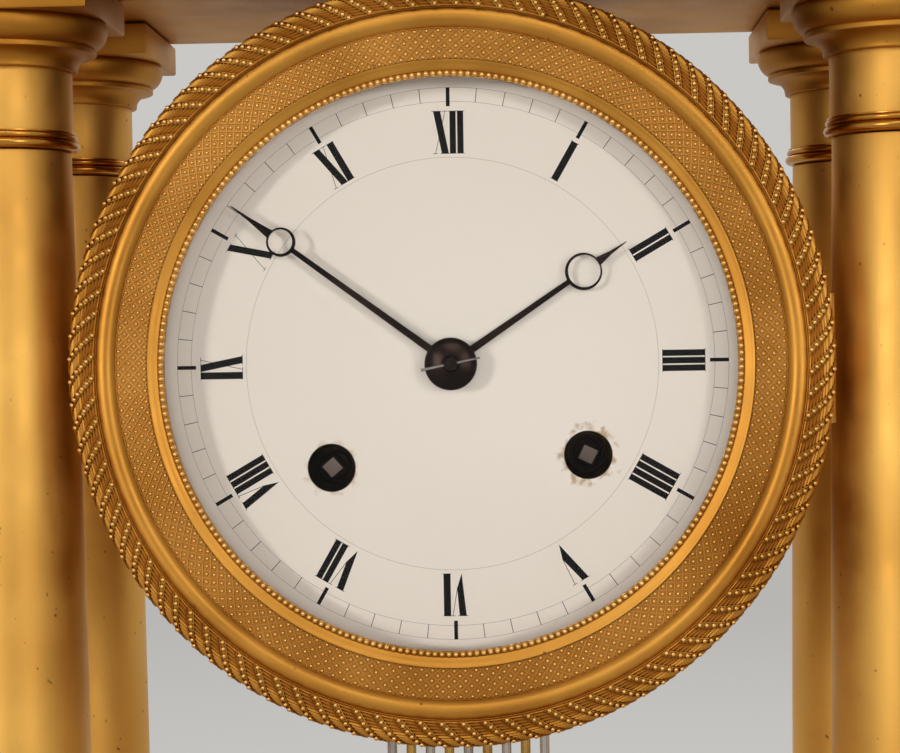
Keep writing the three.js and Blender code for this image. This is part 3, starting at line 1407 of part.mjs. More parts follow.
function countWheel() {
  const points = [];
  let blows = 0;
  for (let hour = 1; hour <= COUNT_HOURS; hour += 1) {
    const start = (2 * Math.PI * blows) / STRIKE_BLOWS;
    blows += hour + 1;
    const end = (2 * Math.PI * blows) / STRIKE_BLOWS;
    points.push(polar(COUNT_RADIUS - COUNT_NOTCH_DEPTH, start - NOTCH_HALF_ANGLE));
    points.push(polar(COUNT_RADIUS - COUNT_NOTCH_DEPTH, start + NOTCH_HALF_ANGLE));
    points.push(polar(COUNT_RADIUS, start + NOTCH_HALF_ANGLE));
    const arcs = Math.ceil(hour / COUNT_ARC_HOURS);
    for (let i = 1; i < arcs; i += 1) {
      points.push(polar(COUNT_RADIUS, start + ((end - start) * i) / arcs));
    }
    points.push(polar(COUNT_RADIUS, end - NOTCH_HALF_ANGLE));
  }
  const back = BACK_PLATE_FRONT - PLATE_THICKNESS - SEAT_GAP - COUNT_THICKNESS;
  const wheel = raised(outline(points), back, back + COUNT_THICKNESS, 1);
  const pivot = PIVOT_HOLE_RADIUS - RUNNING_CLEARANCE;
  const arbor = disc(pivot, back, BACK_PLATE_FRONT + SEAT_GAP, TIE_SEGMENTS);
  return wheel.add(arbor).translate([...COUNT_WHEEL_AT, 0]);
}

const BELL_AT = [0, -6];
const BELL_RADIUS = 27;
const BELL_MOUTH = -29.5;
const BELL_DEPTH = 12;
const BELL_WALL = 1.6;
const BELL_CROWN_RADIUS = 9;
const BELL_SHOULDER_RADIUS = 19.4;
const BELL_SHOULDER_DROP = 3;
const BELL_WAIST_RADIUS = 24.8;
const BELL_WAIST_DROP = 7.5;
const BELL_SEGMENTS = 24;
const STAND_AT = [31, -20];
const STAND_RADIUS = 2;
const STAND_SEAT_RADIUS = 3;
const BELL_NUT_RADIUS = 3.2;
const BELL_NUT_HEIGHT = 2.6;
const STAND_BAR = 1.4;
const STAND_BAR_HALF_WIDTH = 2.2;
const STAND_BAR_BACK = -28.4;

function bell() {
  const crown = BELL_MOUTH - BELL_DEPTH;
  const shell = turned(
    [
      [BELL_BORE_RADIUS, crown],
      [BELL_CROWN_RADIUS, crown],
      [BELL_SHOULDER_RADIUS, crown + BELL_SHOULDER_DROP],
      [BELL_WAIST_RADIUS, crown + BELL_WAIST_DROP],
      [BELL_RADIUS, BELL_MOUTH],
      [BELL_RADIUS - BELL_WALL, BELL_MOUTH],
      [BELL_WAIST_RADIUS - BELL_WALL, crown + BELL_WAIST_DROP],
      [BELL_SHOULDER_RADIUS - BELL_WALL, crown + BELL_SHOULDER_DROP + BELL_WALL],
      [BELL_CROWN_RADIUS - BELL_WALL / 2, crown + BELL_WALL],
      [BELL_BORE_RADIUS, crown + BELL_WALL],
    ],
    BELL_SEGMENTS,
  );
  return shell.translate([...BELL_AT, 0]);
}
const BELL_BORE_RADIUS = 1.5;

function bellStand() {
  const plateBack = BACK_PLATE_FRONT - PLATE_THICKNESS - SEAT_GAP;
  const upright = disc(STAND_RADIUS, STAND_BAR_BACK, plateBack, HINGE_SEGMENTS);
  const post = upright.translate([...STAND_AT, 0]);
  const dx = BELL_AT[0] - STAND_AT[0];
  const dy = BELL_AT[1] - STAND_AT[1];
  const length = Math.hypot(dx, dy);
  const bar = solid(
    new THREE.BoxGeometry(length + 2 * STAND_RADIUS, 2 * STAND_BAR_HALF_WIDTH, STAND_BAR).translate(
      length / 2,
      0,
      STAND_BAR_BACK + STAND_BAR / 2,
    ),
  )
    .rotate([0, 0, THREE.MathUtils.radToDeg(Math.atan2(dy, dx))])
    .translate([...STAND_AT, 0]);
  const crown = BELL_MOUTH - BELL_DEPTH;
  const seat = crown + BELL_WALL + SEAT_GAP;
  const stud = turned(
    [
      [0, crown - NUT_HEIGHT],
      [BELL_BORE_RADIUS - SEAT_GAP, crown - NUT_HEIGHT],
      [BELL_BORE_RADIUS - SEAT_GAP, seat],
      [STAND_SEAT_RADIUS, seat],
      [STAND_RADIUS, seat + STAND_RADIUS],
      [STAND_RADIUS, STAND_BAR_BACK + STAND_BAR],
      [0, STAND_BAR_BACK + STAND_BAR],
    ],
    HINGE_SEGMENTS,
  ).translate([...BELL_AT, 0]);
  return joined([post, bar, stud]);
}

// Nut that holds the bell on its stand
function bellNut() {
  const crown = BELL_MOUTH - BELL_DEPTH;
  return ring(
    BELL_BORE_RADIUS - SEAT_GAP / 3,
    BELL_NUT_RADIUS,
    crown - BELL_NUT_HEIGHT,
    crown - SEAT_GAP,
    HEXAGON,
  ).translate([...BELL_AT, 0]);
}

const HAMMER_AT = [-31, -26];
const HAMMER_HEAD_AT = [-31.2, -6];
const HAMMER_HEAD_RADIUS = 3;
const HAMMER_ARM_HALF = 1.1;
const HAMMER_ARBOR_RADIUS = 1.1;

function hammer() {
  const armBack = BACK_PLATE_FRONT - PLATE_THICKNESS - 2 * SEAT_GAP - CRUTCH_THICKNESS;
  const dx = HAMMER_HEAD_AT[0] - HAMMER_AT[0];
  const dy = HAMMER_HEAD_AT[1] - HAMMER_AT[1];
  const length = Math.hypot(dx, dy);
  const arm = solid(
    new THREE.BoxGeometry(length, 2 * HAMMER_ARM_HALF, CRUTCH_THICKNESS).translate(
      length / 2,
      0,
      armBack + CRUTCH_THICKNESS / 2,
    ),
  )
    .rotate([0, 0, THREE.MathUtils.radToDeg(Math.atan2(dy, dx))])
    .translate([...HAMMER_AT, 0]);
  const headBack = BELL_MOUTH - BELL_DEPTH / 3;
  const stem = disc(HAMMER_ARM_HALF, headBack, armBack + CRUTCH_THICKNESS, TIE_SEGMENTS);
  const head = disc(HAMMER_HEAD_RADIUS, headBack, BELL_MOUTH + BELL_DEPTH / 4, HINGE_SEGMENTS);
  const hub = disc(2 * HAMMER_ARM_HALF, armBack, armBack + CRUTCH_THICKNESS, TIE_SEGMENTS);
  const arbor = disc(HAMMER_ARBOR_RADIUS, armBack, BACK_PLATE_FRONT + SEAT_GAP, TIE_SEGMENTS);
  return joined([
    arm,
    stem.add(head).translate([...HAMMER_HEAD_AT, 0]),
    hub.add(arbor).translate([...HAMMER_AT, 0]),
  ]);
}

// Assembly

const clock = new THREE.Group();
const works = new THREE.Group();
works.rotation.x = Math.PI / 2;
works.position.z = dialHeight;
clock.add(works);

function add(name, body, finish, parent = clock, at = [0, 0, 0]) {
  const mesh = meshOf(name, body, finish);
  mesh.position.set(...at);
  parent.add(mesh);
}

const places = ["front_left", "front_right", "back_left", "back_right"];
signs.forEach(([sx, sy], i) => {
  const place = places[i];
  const column = [sx * COLUMN_X, sy * COLUMN_Y, 0];
  add("foot_" + place, foot(), gilt("gilt_bronze"), clock, [sx * footX, sy * footY, 0]);
  add("column_base_" + place, columnBase(), gilt("gilt_bronze"), clock, column);
  add("column_shaft_" + place, columnShaft(), gilt("satin_gilt"), clock, column);
  add("capital_" + place, capital(), gilt("gilt_bronze"), clock, column);
  add("tie_rod_" + place, tieRod(), steel("steel"), clock, column);
});
add("plinth", plinth(), gilt("gilt_bronze"));
add("plinth_step", step(), gilt("gilt_bronze"));
add("entablature", entablature(), gilt("gilt_bronze"));
add("cornice", cornice(), gilt("gilt_bronze"));

const minuteStudSolid = minuteStud();
const { pin, hole } = handPin();
const hammerHole = disc(HAMMER_ARBOR_RADIUS + RUNNING_CLEARANCE, -DEPTH, DEPTH, TIE_SEGMENTS);
add("drum_shell", drumShell(), brass("drum_brass"), works);
add("drum_hanger", hanger(), gilt("gilt_bronze"), works);
add("bezel", bezel(), gilt("chased_gilt"), works);
add("bezel_glass", bezelGlass(), material("glass", 0xffffff, 0.05, 0), works);
add("hinge_pin", hingePin(), steel("steel"), works);
add("dial_ring", dialRing(), gilt("gilt_bronze"), works);
add("rear_ring", rearRing(), gilt("gilt_bronze"), works);
add("dial", dial(), material("enamel", 0xece7dc, 0.2, 0), works);
add("dial_plate", dialPlate(), brass("brass"), works);
add("front_plate", frontPlate().add(minuteStudSolid), brass("brass"), works);
add(
  "back_plate",
  backPlate().subtract(hammerHole.translate([...HAMMER_AT, 0])),
  brass("brass"),
  works,
);
add("strike_barrel", barrel().translate([...STRIKE_ARBOR, 0]), brass("brass"), works);
add("going_barrel", barrel().translate([...GOING_ARBOR, 0]), brass("brass"), works);
add(
  "strike_winding_arbor",
  windingArbor(STRIKE_SQUARE_TURN).translate([...STRIKE_ARBOR, 0]),
  steel("steel"),
  works,
);
add(
  "going_winding_arbor",
  windingArbor(GOING_SQUARE_TURN).translate([...GOING_ARBOR, 0]),
  steel("steel"),
  works,
);
add("centre_arbor", centreArbor().subtract(hole), brass("brass"), works);
add("minute_wheel", minuteWheel(), brass("brass"), works);
add("hour_wheel", hourWheel(), brass("brass"), works);
add("hour_hand", hourHand(), blued("blued_steel"), works);
add("minute_hand", minuteHand(), blued("blued_steel"), works);
add("hand_collet", handCollet(), blued("blued_steel"), works);
add("hand_pin", pin, steel("steel"), works);
add("escape_wheel", escapeWheel(), brass("brass"), works);
add("anchor", anchor(), steel("steel"), works);
add("crutch", crutch(), steel("steel"), works);
add("pendulum_cock", pendulumCock(), brass("brass"), works);
add("suspension_spring", suspensionSpring(), steel("steel"), works);
add("pendulum_gridiron", gridiron(), steel("steel"), works);
add("pendulum_bob", bob(), gilt("gilt_bronze"), works);
add("rating_nut", ratingNut(), brass("brass"), works);
add("count_wheel", countWheel(), brass("brass"), works);
add("bell_stand", bellStand(), brass("brass"), works);
add("bell", bell(), material("bell_metal", 0xa8a08a, 0.25, 1), works);
add("bell_nut", bellNut(), brass("brass"), works);
add("hammer", hammer(), steel("steel"), works);

export default clock;
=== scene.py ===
from functools import partial
from math import atan2, cos, pi, radians, sin

import bmesh
import bpy
from mathutils import Matrix, Vector


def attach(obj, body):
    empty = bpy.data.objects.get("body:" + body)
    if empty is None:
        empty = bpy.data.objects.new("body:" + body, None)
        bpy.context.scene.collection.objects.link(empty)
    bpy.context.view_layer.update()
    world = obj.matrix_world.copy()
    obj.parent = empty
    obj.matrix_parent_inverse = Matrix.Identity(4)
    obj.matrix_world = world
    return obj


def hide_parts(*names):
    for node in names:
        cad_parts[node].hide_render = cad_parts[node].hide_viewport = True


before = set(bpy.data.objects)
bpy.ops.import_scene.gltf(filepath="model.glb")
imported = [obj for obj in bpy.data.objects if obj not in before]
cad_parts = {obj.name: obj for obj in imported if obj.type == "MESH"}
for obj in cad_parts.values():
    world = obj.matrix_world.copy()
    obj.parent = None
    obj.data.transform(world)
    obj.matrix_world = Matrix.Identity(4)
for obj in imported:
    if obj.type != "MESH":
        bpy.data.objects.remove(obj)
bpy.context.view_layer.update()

# Feet: four turned toupie feet of fire-gilt bronze. Each has a flat pad, a swelling belly and
# a flange, and is screwed up into a corner block of the plinth.

MM = 0.001
SIDES = {"front_left": (-1, -1), "front_right": (1, -1), "back_left": (-1, 1), "back_right": (1, 1)}
FOOT_X, FOOT_Y, FOOT_TOP = 84, 40, 15.7


def colour(code):
    """An sRGB hex value as linear light."""
    parts = [int(code[i : i + 2], 16) / 255 for i in (0, 2, 4)]
    linear = [c / 12.92 if c <= 0.04045 else ((c + 0.055) / 1.055) ** 2.4 for c in parts]
    return (*linear, 1.0)


def connect(node, links):
    """Feeds a node's inputs. A node given as a source stands for its first output."""
    for key, source in dict(links).items():
        output = source.outputs[0] if isinstance(source, bpy.types.Node) else source
        node.id_data.links.new(output, node.inputs[key])


def add_node(tree, kind, settings=(), links=()):
    """One shader node with its settings by name and its sources by input."""
    made = tree.nodes.new("ShaderNode" + kind)
    for key, value in dict(settings).items():
        if isinstance(key, str) and hasattr(made, key):
            setattr(made, key, value)
        else:
            made.inputs[key].default_value = value
    connect(made, links)
    return made


def new_finish(name, **sockets):
    """A material, the function that adds to its nodes, its Principled shader and its
    object coordinates."""
    finish = bpy.data.materials.new(name)
    finish.use_nodes = True
    add = partial(add_node, finish.node_tree)
    shader = finish.node_tree.nodes["Principled BSDF"]
    for key, value in sockets.items():
        shader.inputs[key.replace("_", " ")].default_value = value
    return finish, add, shader, add("TexCoord").outputs["Object"]


def gilding(name, bright, toned, rough, grain, relief, hollow_shade=0.0, drawn=1.0):
    """Fire gilding on bronze: the gold layer is toned in clouds, satin where it is matt, and
    pricked with dark spots where it is worn. The hollows are darkened by their ambient
    occlusion, as painted shade, by the amount given. Grain and relief are the matting's, in
    millimetres, and drawn stretches it upright."""
    finish, add, shader, where = new_finish(name, Metallic=1.0)
    clouds = add("TexNoise", {"Scale": 1 / (28 * MM), "Detail": 5}, {"Vector": where})
    tint = add("ValToRGB", {}, {"Fac": clouds})
    for stop, position, code in zip(tint.color_ramp.elements, (0.36, 0.66), (toned, bright)):
        stop.position, stop.color = position, colour(code)
    pricks = add("TexNoise", {"Scale": 1 / (1.2 * MM), "Detail": 1}, {"Vector": where})
    spots = add("MapRange", {"From Min": 0.75, "From Max": 0.82, "To Max": 0.7}, {"Value": pricks})
    last = add("MixRGB", {"Color2": colour("4a2a10")}, {"Fac": spots, "Color1": tint})
    # Painted shade: the gold turns dark brown where ambient occlusion finds a hollow
    if hollow_shade:
        hollow = add("AmbientOcclusion", {"samples": 6, "Distance": 0.9 * MM})
        deep = {"From Min": 0.2, "From Max": 0.8, "To Min": hollow_shade, "To Max": 0.0}
        dark = add("MapRange", deep, {"Value": hollow.outputs["AO"]})
        last = add("MixRGB", {"Color2": colour("4a2a0e")}, {"Fac": dark, "Color1": last})
    patches = add("TexNoise", {"Scale": 1 / (7 * MM), "Detail": 3}, {"Vector": where})
    worn = {"From Min": 0.3, "From Max": 0.7, "To Min": rough[0], "To Max": rough[1]}
    gloss = add("MapRange", worn, {"Value": patches})
    lines = add("VectorMath", {"operation": "MULTIPLY", 1: (1, 1, drawn)}, {0: where})
    matting = add("TexNoise", {"Scale": 1 / (grain * MM), "Detail": 4}, {"Vector": lines})
    bump = add("Bump", {"Strength": 0.6, "Distance": relief * MM}, {"Height": matting})
    connect(shader, {"Base Color": last, "Roughness": gloss, "Normal": bump})
    return finish


# Burnished mouldings, which were polished with agate after gilding
burnished_gilt = gilding("burnished_gilt", "daa04a", "b97e2f", (0.2, 0.3), 1.2, 0.012)


def eased(profile, radius):
    """The profile with each sharp corner off the axis rounded by two short facets."""
    points = [Vector(p) for p in profile]
    closed = profile[0][0] > 0 or profile[-1][0] > 0
    made = []
    for i, here in enumerate(points):
        before, after = points[i - 1] - here, points[(i + 1) % len(points)] - here
        on_axis = not closed and i in (0, len(points) - 1)
        doubled = min(before.length, after.length) < 1e-6
        if on_axis or doubled or (-before).angle(after) < radians(25):
            made.append(here)
            continue
        cut = min(radius, before.length * 0.4, after.length * 0.4)
        first, last = here + before.normalized() * cut, here + after.normalized() * cut
        made += [first, first * 0.25 + here * 0.5 + last * 0.25, last]
    return [tuple(p) for p in made]


def outward(bm):
    bmesh.ops.recalc_face_normals(bm, faces=bm.faces[:])


def turned(profile, segments=96, ease=0.25):
    """A body turned about Z from (radius, height) points, closed on itself or on the axis."""
    bm = bmesh.new()
    points = eased(profile, ease) if ease else list(profile)
    line = [bm.verts.new((r, 0, z)) for r, z in points]
    closed = points[0][0] > 0 or points[-1][0] > 0
    ends = line[1:] + (line[:1] if closed else [])
    geom = line + [bm.edges.new(pair) for pair in zip(line, ends)]
    bmesh.ops.spin(
        bm, geom=geom, axis=(0, 0, 1), cent=(0, 0, 0), angle=2 * pi, steps=segments, use_merge=True
    )
    bmesh.ops.remove_doubles(bm, verts=bm.verts[:], dist=1e-4)
    outward(bm)
    return bm


def arc(r, z, out, up, start, end, steps=6):
    """Points of an oval arc in a profile: its centre, its radii and its angles in degrees."""
    turn = [radians(start + (end - start) * i / steps) for i in range(steps + 1)]
    return [(r + out * cos(a), z + up * sin(a)) for a in turn]


def into_scene(name, data):
    made = bpy.data.objects.new(name, data)
    bpy.context.scene.collection.objects.link(made)
    return made


def piece(bm, name, body, finish, place=Matrix.Identity(4), instead=(), crease=32):
    """The finished object: placed from millimetres, smooth up to the crease angle."""
    bmesh.ops.transform(bm, matrix=Matrix.Scale(MM, 4) @ place, verts=bm.verts[:])
    mesh = bpy.data.meshes.new(name)
    bm.to_mesh(mesh)
    bm.free()
    mesh.polygons.foreach_set("use_smooth", [True] * len(mesh.polygons))
    mesh.set_sharp_from_angle(angle=radians(crease))
    mesh.materials.append(finish)
    made = into_scene(name, mesh)
    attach(made, body)
    if instead:
        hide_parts(*instead)


def moved(x, y, z=0.0):
    return Matrix.Translation((x, y, z))


foot_profile = [(0, 0), (6.5, 0), *arc(4.4, 6.85, 7.1, 7.1, -62, 52, 12), (7.5, 12.6), (7.5, 13.4)]
foot_profile += [(11.5, 13.7), (11.5, FOOT_TOP), (0, FOOT_TOP)]
for side, (sx, sy) in SIDES.items():
    foot, place, old = turned(foot_profile, 64), moved(sx * FOOT_X, sy * FOOT_Y), ["foot_" + side]
    piece(foot, "turned_foot_" + side, "case", burnished_gilt, place, old)

# Plinth and step: a hollow rectangular plinth, cast in gilt bronze, with burnished mouldings
# above and below a matt panel, has a block in each corner for the foot's screw. The
# columns stand on the step. Tie rods hold them all together.

PLINTH_HALF_WIDTH, PLINTH_HALF_DEPTH = 100, 54
PLINTH_BOTTOM, PLINTH_TOP, STEP_BOTTOM, STEP_TOP = 16, 49.7, 50, 55.7
PLINTH_WALL, HOLLOW_TOP, BLOCK_HALF = 11, 45, 7.5

# Matt gilt surfaces, which were boiled in a salt mix and left satin
matt_gilt = gilding("matt_gilt", "d0963f", "af762b", (0.46, 0.56), 0.35, 0.02)


def outline(bm, points, z):
    """The edges of a closed outline through (x, y) points at one height."""
    verts = [bm.verts.new((x, y, z)) for x, y in points]
    return [bm.edges.new((v, verts[(i + 1) % len(verts)])) for i, v in enumerate(verts)]


def soften(bm, edges, offset, segments=2, clamp=False):
    """Breaks sharp edges with a narrow round."""
    bmesh.ops.bevel(
        bm, geom=edges, affect="EDGES", offset_type="OFFSET", offset=offset, segments=segments,
        profile=0.5, material=-1, clamp_overlap=clamp
    )


def framed(profile, half_width, half_depth, ease=0.3, open_below=None):
    """A rectangular body mitred from an outside profile of (inset, height) points.
    open_below is the wall and the height of a hollow that is open underneath."""
    bm = bmesh.new()
    far = 1000  # insets are eased as radii far from the axis
    points = eased([(far - inset, z) for inset, z in profile], ease)
    points = points[1:-1] if len(points) > len(profile) + 2 else points
    levels = [(far - r, z) for r, z in points]
    if open_below:
        wall, height = open_below
        levels = [(wall, height), (wall, profile[0][1]), *levels]
    loops = []
    for inset, z in levels:
        w, d = half_width - inset, half_depth - inset
        loops.append(outline(bm, ((-w, -d), (w, -d), (w, d), (-w, d)), z))
    for low, high in zip(loops, loops[1:]):
        bmesh.ops.bridge_loops(bm, edges=low + high)
    bmesh.ops.contextual_create(bm, geom=loops[0])
    bmesh.ops.contextual_create(bm, geom=loops[-1])
    outward(bm)
    upright = [e for e in bm.edges if abs(e.verts[0].co.z - e.verts[1].co.z) > 0.02]
    soften(bm, [e for e in upright if len(e.link_faces) == 2], 0.2, clamp=True)
    return bm


def together(*parts):
    """Several closed bodies of one casting in one mesh."""
    whole = bmesh.new()
    for part in parts:
        carrier = bpy.data.meshes.new("carrier")
        part.to_mesh(carrier)
        part.free()
        whole.from_mesh(carrier)
        bpy.data.meshes.remove(carrier)
    return whole


def slab(x0, x1, y0, y1, z0, z1, ease=0.2):
    """A rectangular bar between two corners, with softened edges unless the ease is 0."""
    bm = bmesh.new()
    bmesh.ops.create_cube(bm, size=1)
    bmesh.ops.scale(bm, vec=(x1 - x0, y1 - y0, z1 - z0), verts=bm.verts[:])
    bmesh.ops.translate(bm, vec=((x0 + x1) / 2, (y0 + y1) / 2, (z0 + z1) / 2), verts=bm.verts[:])
    if ease:
        soften(bm, bm.edges[:], ease)
    return bm


blocks = []
for sx, sy in SIDES.values():
    left, front = sx * FOOT_X - BLOCK_HALF, sy * FOOT_Y - BLOCK_HALF
    right, behind = left + 2 * BLOCK_HALF, front + 2 * BLOCK_HALF
    blocks.append(slab(left, right, front, behind, PLINTH_BOTTOM, HOLLOW_TOP + 0.1))
plinth_profile = [(0, PLINTH_BOTTOM), (0, 20), *arc(5, 20, -5, 5, 0, 90)[1:], (6.2, 25.6)]
plinth_profile += [(6.2, 39.2), (5, 39.4), *arc(0, 39.7, 5, 5, 0, 90)[1:-1]]
plinth_profile += [(0, 44.9), (0, PLINTH_TOP)]
shell = framed(plinth_profile, PLINTH_HALF_WIDTH, PLINTH_HALF_DEPTH, 0.3, (PLINTH_WALL, HOLLOW_TOP))
plinth = together(shell, *blocks)
piece(plinth, "plinth_casting", "case", matt_gilt, instead=["plinth"])
step_profile = [(4, STEP_BOTTOM), (4, 53.6), (4.6, 54.4), (5.6, 54.9), (5.6, STEP_TOP)]
step = framed(step_profile, PLINTH_HALF_WIDTH, PLINTH_HALF_DEPTH)
piece(step, "step_casting", "case", burnished_gilt, instead=["plinth_step"])

# Columns: each column is four pieces threaded on a steel rod: a moulded base, a satin-gilt shaft
# with a slight swell, a neck with its polished astragal, and a turned and squared capital.

COLUMN_X, COLUMN_Y = 73.8, 27.5
BASE_BOTTOM, SHAFT_BOTTOM, SHAFT_TOP, NECK_BOTTOM, COLUMN_TOP = 56, 72.3, 268.2, 268.5, 295.5
SHAFT_R, TAPER, SWELL, SHAFT_LEVELS, NECK_R = 12.8, 2.3, 0.276, 14, 10.8
BORE, BASE_HALF, ABACUS_HALF = 2.6, 17, 16.9

# Shafts: the gilding was matted evenly and has gone a little orange and cloudy by handling
satin_gilt = gilding("satin_gilt", "f4bf62", "d89f4a", (0.44, 0.56), 0.4, 0.016, drawn=0.06)


def bare_metal(name, clean, toned, rough, scratch, along=None):
    """Brass or steel, lacquered or oiled: stoned, turned or drawn along one axis, with fine
    lines as wide as the scratch, and toned and dulled in patches."""
    finish, add, shader, where = new_finish(name, Metallic=1.0)
    patches = add("TexNoise", {"Scale": 1 / (14 * MM), "Detail": 6}, {"Vector": where})
    tint = add("ValToRGB", {}, {"Fac": patches})
    for stop, position, code in zip(tint.color_ramp.elements, (0.42, 0.6), (toned, clean)):
        stop.position, stop.color = position, colour(code)
    dull = {"From Min": 0.35, "From Max": 0.65, "To Min": rough[1], "To Max": rough[0]}
    gloss = add("MapRange", dull, {"Value": patches})
    scale = [(0.03 if axis == along else 1) / (scratch * MM) for axis in range(3)]
    stretched = add("Mapping", {"Scale": scale}, {"Vector": where})
    lines = add("TexNoise", {"Scale": 1, "Detail": 3}, {"Vector": stretched})
    bump = add("Bump", {"Strength": 0.5, "Distance": 0.01 * MM}, {"Height": lines})
    connect(shader, {"Base Color": tint, "Roughness": gloss, "Normal": bump})
    return finish


# Blued steel, and the steel of the rods and arbors: oil and age have made it nearly black
blackened_steel = bare_metal("blackened_steel", "3a2b25", "1e1613", (0.16, 0.28), 0.3)


def keep(node, finish):
    """Gives a solid of the frame its finish and leaves its shape alone."""
    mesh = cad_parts[node].data
    for i in range(len(mesh.materials)):
        mesh.materials[i] = finish


def spindle(radius, low, high, segments=32, ease=0.15, bore=0.0):
    """A plain turned cylinder, solid or bored."""
    return turned([(bore, low), (radius, low), (radius, high), (bore, high)], segments, ease)


base_profile = [(BORE, 61.9), (14.2, 61.9), *arc(14.1, 64.5, 2.5, 2.5, -85, 90, 10), (13.9, 67.5)]
base_profile += [*arc(14.9, 69.0, 1.6, 1.6, 220, 140, 5), (14, 70.6), (14, 72), (BORE, 72)]
shaft_profile = [(BORE, SHAFT_BOTTOM)]
for i in range(SHAFT_LEVELS + 1):
    share = i / SHAFT_LEVELS
    radius = SHAFT_R - TAPER * share + SWELL * sin(pi * share)
    shaft_profile.append((radius, SHAFT_BOTTOM + (SHAFT_TOP - SHAFT_BOTTOM) * share))
shaft_profile.append((BORE, SHAFT_TOP))
astragal_profile = [(10.6, 268.45), (11.1, 268.45), *arc(11.05, 269.3, 0.8, 0.8, -80, 80, 8)]
astragal_profile += [(11.05, 270.12), *arc(11.0, 270.65, 0.55, 0.55, -70, 70, 8)]
astragal_profile += [(11.25, 271.2), (11.25, 271.45), (10.6, 271.45)]
capital_profile = [(BORE, 281.6), (11.6, 281.6), (11.75, 281.8)]
capital_profile += [*arc(14.7, 282.0, -2.95, 2.5, 0, 90), (14.9, 284.6), (14.9, 285.4)]
capital_profile += arc(14.2, 288.9, 2.65, 3.4, -80, 0, 8)
capital_profile += [*arc(14.2, 288.9, 2.65, 1.5, 18, 54, 2), (BORE, 290.2)]
for side, (sx, sy) in SIDES.items():
    place = moved(sx * COLUMN_X, sy * COLUMN_Y)
    block = slab(-BASE_HALF, BASE_HALF, -BASE_HALF, BASE_HALF, BASE_BOTTOM, 62, 0.4)
    base, old = together(block, turned(base_profile)), ["column_base_" + side]
    piece(base, "base_" + side, "case", burnished_gilt, place, old)
    shaft = turned(shaft_profile, 96, 0.2)
    piece(shaft, "shaft_" + side, "case", satin_gilt, place, ["column_shaft_" + side])
    # The capital is matt gilt, and its darker gold is also painted shade for the dimmer light at
    # the top of the column
    abacus = slab(-ABACUS_HALF, ABACUS_HALF, -ABACUS_HALF, ABACUS_HALF, 289.9, COLUMN_TOP, 0.4)
    top = together(turned(capital_profile, 96, 0.12), abacus)
    piece(top, "capital_top_" + side, "case", matt_gilt, place, ["capital_" + side])
    neck = spindle(NECK_R, NECK_BOTTOM, 281.7, 96, 0.2, BORE)
    piece(neck, "neck_" + side, "case", satin_gilt, place)
    ring = turned(astragal_profile, 96, 0.05)
    piece(ring, "astragal_" + side, "case", burnished_gilt, place)
    keep("tie_rod_" + side, blackened_steel)

# Entablature and cornice: one hollow gilt casting lies on the four capitals, with an
# architrave, a matt frieze and burnished mouldings, and the moulded cornice lies on it
# as a lid. The nuts of the tie rods and of the drum's hanger are inside.

ENTABLATURE_BOTTOM, ENTABLATURE_TOP = 295.8, 326.8
ENTABLATURE_HALF_WIDTH, ENTABLATURE_HALF_DEPTH = 90.3, 44.0
ENTABLATURE_WALL, ENTABLATURE_FLOOR = 9.9, 301.8
CORNICE_HALF_WIDTH, CORNICE_HALF_DEPTH = 97.8, 51.5


def tray(profile, half_width, half_depth, wall, floor):
    """A framed casting that is open above: walls of one thickness and a floor."""
    bm = framed(profile, half_width, half_depth, 0.2)
    lid = max(bm.faces, key=lambda f: f.calc_center_median().z + f.calc_area() * 1e-3)
    rim, border = lid.calc_center_median().z, list(lid.edges)
    x, y = (max(v.co[axis] for v in lid.verts) - wall for axis in (0, 1))
    bmesh.ops.delete(bm, geom=[lid], context="FACES_ONLY")
    corners = ((-x, -y), (x, -y), (x, y), (-x, y))
    top, bottom = ([bm.verts.new((*corner, z)) for corner in corners] for z in (rim, floor))
    opening = [bm.edges.new((top[i - 1], top[i])) for i in range(4)]
    bmesh.ops.triangle_fill(bm, edges=border + opening, use_beauty=True)
    for i in range(4):
        bm.faces.new((top[i - 1], top[i], bottom[i], bottom[i - 1]))
    bm.faces.new(bottom)
    outward(bm)
    return bm


architrave = [(2, ENTABLATURE_BOTTOM), (2, 301.6), (1.4, 301.9), (1.4, 305.8)]
architrave += arc(1.4, 307.2, -1.4, 1.2, -90, 0, 5)[1:]
frieze = [(0, 307.8), (3.2, 308.1), (3.2, 323.2), (2.6, 323.4)]
frieze += [*arc(3.2, 326.0, -1.9, 1.9, -60, 0, 5), (1.3, ENTABLATURE_TOP)]
half_width, half_depth = ENTABLATURE_HALF_WIDTH, ENTABLATURE_HALF_DEPTH
casting = tray(architrave + frieze, half_width, half_depth, ENTABLATURE_WALL, ENTABLATURE_FLOOR)
piece(casting, "entablature_casting", "case", matt_gilt, instead=["entablature"])
cornice_profile = [(9.4, 327.1), (9.4, 329.4), (8.6, 329.7), *arc(8.6, 334.4, -3.4, 3.4, -80, 0)]
cornice_profile += [(4.8, 334.8), (4.8, 335.9), *arc(1.4, 336.2, 3.2, 3.6, 180, 100)]
cornice_profile += [(0.4, 340.2), (0, 340.6), (0, 343.0), (6.2, 343.4)]
cornice_profile += [*arc(8.2, 345.4, -1.8, 1.6, -60, 80), (7.6, 347.4), (7.6, 349.1)]
cornice = framed(cornice_profile, CORNICE_HALF_WIDTH, CORNICE_HALF_DEPTH, 0.2)
piece(cornice, "cornice_casting", "case", burnished_gilt, instead=["cornice"])

# Drum: a rolled and brazed tube of sheet brass holds the movement between the columns.
# It hangs from the entablature by a saddle and two screws, and carries the door's hinge.

DIAL_HEIGHT = 232
WORKS = moved(0, 0, DIAL_HEIGHT) @ Matrix.Rotation(pi / 2, 4, "X")
DRUM_R, DRUM_BACK, DRUM_FRONT = 58, -18, 34.3
HINGE_X, HINGE_FORWARD, KNUCKLE_R, PIN_R = 61.3, 35.4, 0.95, 0.75

